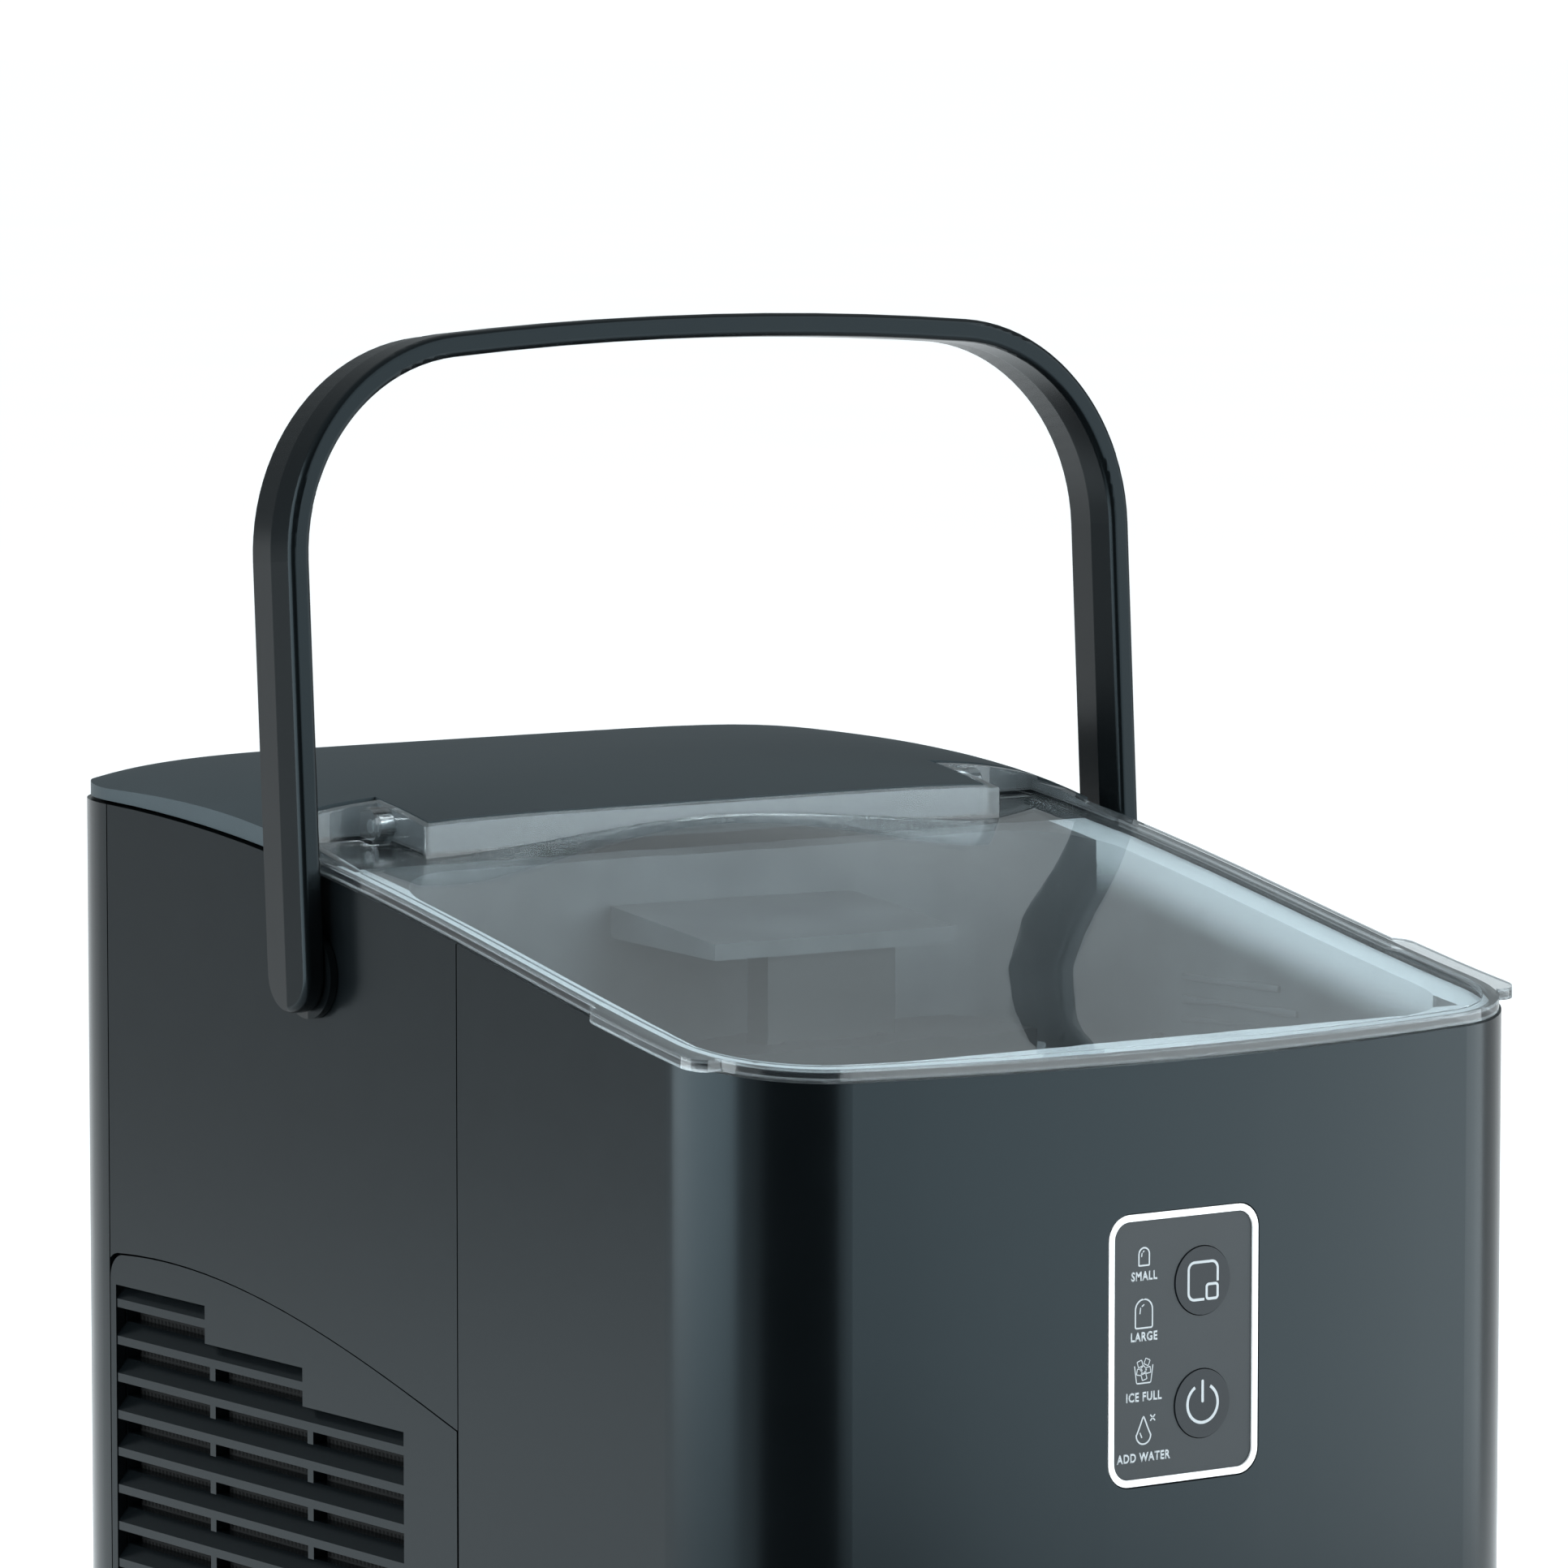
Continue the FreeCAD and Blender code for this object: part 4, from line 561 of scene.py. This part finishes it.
def trim(piece, test):
    # cuts faces out of a flat sign
    bpy.context.view_layer.objects.active = piece
    bpy.ops.object.mode_set(mode="EDIT")
    pick(piece, "faces", lambda place, normal: test(place.x, place.y))
    bpy.ops.mesh.delete(type="FACE")
    bpy.ops.object.mode_set(mode="OBJECT")


def split(piece, x=None, y=None):
    # adds a cut line across a flat sign
    bpy.context.view_layer.objects.active = piece
    bpy.ops.object.mode_set(mode="EDIT")
    bpy.ops.mesh.select_all(action="SELECT")
    if x is not None:
        bpy.ops.mesh.bisect(plane_co=(x, 0, 0), plane_no=(1, 0, 0))
    else:
        bpy.ops.mesh.bisect(plane_co=(0, y, 0), plane_no=(0, 1, 0))
    bpy.ops.object.mode_set(mode="OBJECT")


def printSign(name, parts, x, front, z, body):
    # joins flat parts, gives them the ink's thickness and stands them on a face that looks forward
    deselectAll()
    for part in parts:
        part.select_set(True)
    sign = parts[0]
    bpy.context.view_layer.objects.active = sign
    if len(parts) > 1:
        bpy.ops.object.join()
    bpy.ops.object.transform_apply(location=True, rotation=True, scale=True)
    sign.name = name
    sign.data.name = name
    thicken = sign.modifiers.new("ink", "SOLIDIFY")
    thicken.thickness = printing["thickness"]
    thicken.offset = 1
    bpy.ops.object.modifier_apply(modifier="ink")
    sign.rotation_euler = (math.pi / 2, 0, 0)
    sign.location = (x, front, z)
    closePiece(sign, body, ink, smoothAngle=0)


def printOnPanel(name, parts, z):
    printSign(name, parts, printing["columnX"], panelFront, z, "cabinet")


def printOnButton(name, parts, button):
    low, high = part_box(button)
    printSign(name, parts, (low.x + high.x) / 2, low.y, (low.z + high.z) / 2, button)


def anyCorner(x, y):
    return True


def topCorner(x, y):
    return y > 0


bullets = {
    "SMALL": {"name": "signSmall", "width": 3.2 * millimetre, "height": 4.2 * millimetre},
    "LARGE": {"name": "signLarge", "width": 5.0 * millimetre, "height": 6.6 * millimetre},
}
bulletShape = {
    "topCorner": 0.499,           # shares of the width
    "lowCorner": 0.12,
    "gleamLine": 0.8,             # share of the usual line
    "gleams": [(0.22, -0.20, 0.10, -8), (0.13, -0.05, 0.27, -55)],    # length, across, up, turn
}


def makeBullet(name, width, height, z):
    # an ice bullet: round top, a short gleam inside
    line = printing["line"]
    corners = [(width * bulletShape["topCorner"], topCorner),
               (width * bulletShape["lowCorner"], lambda x, y: y < 0)]
    parts = [flatFrame(width, height, corners, line)]
    for length, across, up, turn in bulletShape["gleams"]:
        parts.append(flatBar(line * bulletShape["gleamLine"], height * length,
                             width * across, height * up, turn))
    printOnPanel(name, parts, z)


fullSign = {
    "width": 5.6 * millimetre,
    "height": 5.0 * millimetre,
    "line": 0.85,                 # shares of the usual line
    "cubeLine": 0.7,
    "corner": 0.5 * millimetre,
    "open": 0.30,                 # share of the height above which the tub's outline is cut away
    "waist": 0.86,
    "flare": 0.28,
    "cube": 1.5 * millimetre,
    "cubeCorner": 0.25 * millimetre,
    "cubes": [(-1.0, 1.9, 18), (0.9, 2.2, -24), (-0.1, 0.6, 40),    # across and up in millimetres, turn
              (1.2, 0.4, 8), (-1.2, 0.1, -12), (0.1, -1.0, 15)],
}


def makeFullSign():
    # a tub heaped with cubes
    line = printing["line"] * fullSign["line"]
    tall = fullSign["height"]
    top = tall * fullSign["open"]
    tub = flatFrame(fullSign["width"], tall, [(fullSign["corner"], anyCorner)], line)
    split(tub, y=top)
    trim(tub, lambda x, y: y > top)
    for corner in tub.data.vertices:
        corner.co.x *= fullSign["waist"] + fullSign["flare"] * (corner.co.y / tall)
    parts = [tub]
    for x, y, turn in fullSign["cubes"]:
        parts.append(flatFrame(fullSign["cube"], fullSign["cube"], [(fullSign["cubeCorner"], anyCorner)],
                               line * fullSign["cubeLine"], x * millimetre, y * millimetre, turn))
    printOnPanel("signFull", parts, signHeights["ICE FULL"])


waterSign = {
    "radius": 2.15 * millimetre,
    "points": 40,
    "pull": 0.95,                 # how far the drop's top is drawn out and pinched in
    "pinch": 0.55,
    "dropY": -0.9 * millimetre,
    "gleam": {"height": 1.3 * millimetre, "x": -0.7 * millimetre, "turn": 25},
    "cross": {"height": 1.9 * millimetre, "x": 2.5 * millimetre, "y": 2.7 * millimetre},
}


def makeWaterSign():
    # a drop with a small cross beside it
    line = printing["line"]
    radius = waterSign["radius"]
    bpy.ops.mesh.primitive_circle_add(vertices=waterSign["points"], radius=radius, fill_type="NGON")
    drop = startPiece("sign")
    mesh = bmesh.from_edit_mesh(drop.data)
    for corner in mesh.verts:
        if corner.co.y > 0:
            height = corner.co.y / radius
            corner.co.y *= 1 + waterSign["pull"] * height
            corner.co.x *= 1 - waterSign["pinch"] * height
    bpy.ops.mesh.select_all(action="SELECT")
    bpy.ops.mesh.inset(thickness=line)
    bpy.ops.mesh.delete(type="FACE")
    bpy.ops.object.mode_set(mode="OBJECT")
    drop.location = (0, waterSign["dropY"], 0)
    parts = [drop, flatBar(line * 0.8, y=waterSign["dropY"], **waterSign["gleam"])]
    for turn in (45, -45):
        parts.append(flatBar(line * 0.9, turn=turn, **waterSign["cross"]))
    printOnPanel("signWater", parts, signHeights["ADD WATER"])


def makeLabel(words):
    # generic function word under its icon
    bpy.ops.object.text_add()
    label = bpy.context.active_object
    label.data.body = words
    label.data.align_x = "CENTER"
    label.data.align_y = "CENTER"
    label.data.size = printing["labelHeight"]
    label.data.resolution_u = 3
    label.data.offset = printing["labelBold"]
    label.data.space_character = printing["labelSpacing"]
    label.scale = (printing["labelNarrow"], 1, 1)
    bpy.ops.object.convert(target="MESH")
    label = bpy.context.active_object
    name = "label" + words.title().replace(" ", "")
    printOnPanel(name, [label], signHeights[words] - labelDrops[words])


sizeSymbol = {
    "side": 8.6 * millimetre,
    "line": 0.58 * millimetre,
    "corner": 1.9 * millimetre,
    "cut": 0.35 * millimetre,
    "tall": 1.02,                 # height as a share of the side
    "small": (0.42, 0.44),        # the small square's width, height and place as shares of the side
    "smallPlace": 0.29,
    "smallCorner": 0.9 * millimetre,
}


def makeSizeSymbol():
    # large square with a small one in its corner
    side = sizeSymbol["side"]
    line = sizeSymbol["line"]
    cut = sizeSymbol["cut"]
    large = flatFrame(side, side * sizeSymbol["tall"], [(sizeSymbol["corner"], anyCorner)], line)
    split(large, x=cut)
    split(large, y=-cut)
    trim(large, lambda x, y: x > cut and y < -cut)
    width, height = [side * share for share in sizeSymbol["small"]]
    place = side * sizeSymbol["smallPlace"]
    small = flatFrame(width, height, [(sizeSymbol["smallCorner"], anyCorner)], line, place, -place)
    printOnButton("symbolSize", [large, small], "size_button")


powerSymbol = {
    "radius": 4.5 * millimetre,
    "line": 0.66 * millimetre,
    "points": 72,
    "gap": 30,                    # degrees open on each side of the top
    "bar": {"height": 5.0 * millimetre, "y": 2.7 * millimetre},
}


def makePowerSymbol():
    # open ring with a bar at the top
    line = powerSymbol["line"]
    bpy.ops.mesh.primitive_circle_add(vertices=powerSymbol["points"], radius=powerSymbol["radius"],
                                      fill_type="NGON")
    ring = startPiece("sign")
    bpy.ops.mesh.inset(thickness=line)
    bpy.ops.mesh.delete(type="FACE")
    bpy.ops.object.mode_set(mode="OBJECT")
    trim(ring, lambda x, y: y > 0 and abs(math.degrees(math.atan2(x, y))) < powerSymbol["gap"])
    printOnButton("symbolPower", [ring, flatBar(line, **powerSymbol["bar"])], "power_button")


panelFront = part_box("control_panel")[0].y
for words, settings in bullets.items():
    makeBullet(z=signHeights[words], **settings)
makeFullSign()
makeWaterSign()
for words in signHeights:
    makeLabel(words)
makeSizeSymbol()
makePowerSymbol()
print("panel signs ready")


screen = {
    "thickness": 0.2 * millimetre,
    "gap": 0.1 * millimetre,
    "margin": 1.5 * millimetre,
    "top": 181.0 * millimetre,
    "threads": 620.0,
    "frame": 2.5 * millimetre,    # edge that stays thick
    "pinch": 0.6,
    "dark": 0.001,
    "light": 0.006,
    "bump": {"Strength": 0.4, "Distance": 0.3 * millimetre},
}


def screenCloth():
    # fine black mesh cloth
    material = bpy.data.materials.new("screenCloth")
    sheet = Sheet(material)
    apart = sheet.add("ShaderNodeSeparateXYZ", {}, {0: sheet.add("ShaderNodeTexCoord", {}, {})["Object"]})
    weave = []
    for axis in ("Y", "Z"):
        weave.append(sheet.add("ShaderNodeMath", {"operation": "SINE"},
                               {0: apart[axis] * (2 * math.pi * screen["threads"])}))
    threads = sheet.add("ShaderNodeMath", {"operation": "MAXIMUM"}, {0: weave[0], 1: weave[1]})
    tones = [colour(*[screen[tone]] * 3) for tone in ("dark", "light")]
    surface = sheet.add("ShaderNodeBsdfPrincipled", {}, {
        "Base Color": mixColours(sheet, threads, *tones),
        "Roughness": 0.7,
        "Specular IOR Level": 0.1,
        "Normal": sheet.add("ShaderNodeBump", {}, {"Height": threads, **screen["bump"]})})
    sheet.add("ShaderNodeOutputMaterial", {}, {"Surface": surface})
    return material


def makeScreen(side, inner, outwards):
    # a thin framed sheet lying against a grille's inner face
    low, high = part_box(side + "_grille")
    bottom = low.z + screen["margin"]
    bpy.ops.mesh.primitive_cube_add(size=1)
    piece = startPiece("dustScreen" + side.title())
    bpy.ops.transform.resize(value=(
        screen["thickness"], high.y - low.y - 2 * screen["margin"], screen["top"] - bottom))
    pick(piece, "faces", lambda place, normal: abs(normal.x) > 0.5)
    bpy.ops.mesh.inset(thickness=screen["frame"])
    bpy.ops.transform.resize(value=(screen["pinch"], 1, 1))
    bpy.ops.object.mode_set(mode="OBJECT")
    piece.location = (inner - outwards * (screen["gap"] + screen["thickness"] / 2),
                      (low.y + high.y) / 2, (bottom + screen["top"]) / 2)
    closePiece(piece, "cabinet", cloth, smoothAngle=0)


cloth = screenCloth()
makeScreen("left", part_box("left_grille")[1].x, -1)
makeScreen("right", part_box("right_grille")[0].x, 1)
print("dust screens ready")


ribs = {
    "count": 9,
    "pitch": 5.5 * millimetre,
    "lowest": 205.0 * millimetre,
    "height": 1.6 * millimetre,
    "depth": 0.9 * millimetre,
    "front": -112.0 * millimetre,
    "rear": -22.0 * millimetre,
    "wall": 99.0 * millimetre,
    "taper": 0.075,               # how much of the length each rib loses to the one below
    "rounding": 0.35 * millimetre,
}


def makeRibs(side, name):
    # a stack of ribs; each is shorter than the one below, so the top ones stop short of the sloping rim
    rows = []
    for row in range(ribs["count"]):
        length = (ribs["rear"] - ribs["front"]) * (1.0 - ribs["taper"] * row)
        bpy.ops.mesh.primitive_cube_add(size=1)
        rib = startPiece("rib")
        bpy.ops.transform.resize(value=(ribs["depth"] * 2, length, ribs["height"]))
        bpy.ops.mesh.bevel(offset=ribs["rounding"], segments=2)
        bpy.ops.object.mode_set(mode="OBJECT")
        rib.location = (side * ribs["wall"], ribs["rear"] - length / 2,
                        ribs["lowest"] + row * ribs["pitch"])
        rows.append(rib)
    deselectAll()
    for rib in rows:
        rib.select_set(True)
    bpy.context.view_layer.objects.active = rows[0]
    bpy.ops.object.join()
    joined = bpy.context.active_object
    joined.name = name
    closePiece(joined, "cabinet", finishes["liner"])


makeRibs(1, "tubRibsRight")
makeRibs(-1, "tubRibsLeft")
print("tub ribs ready")
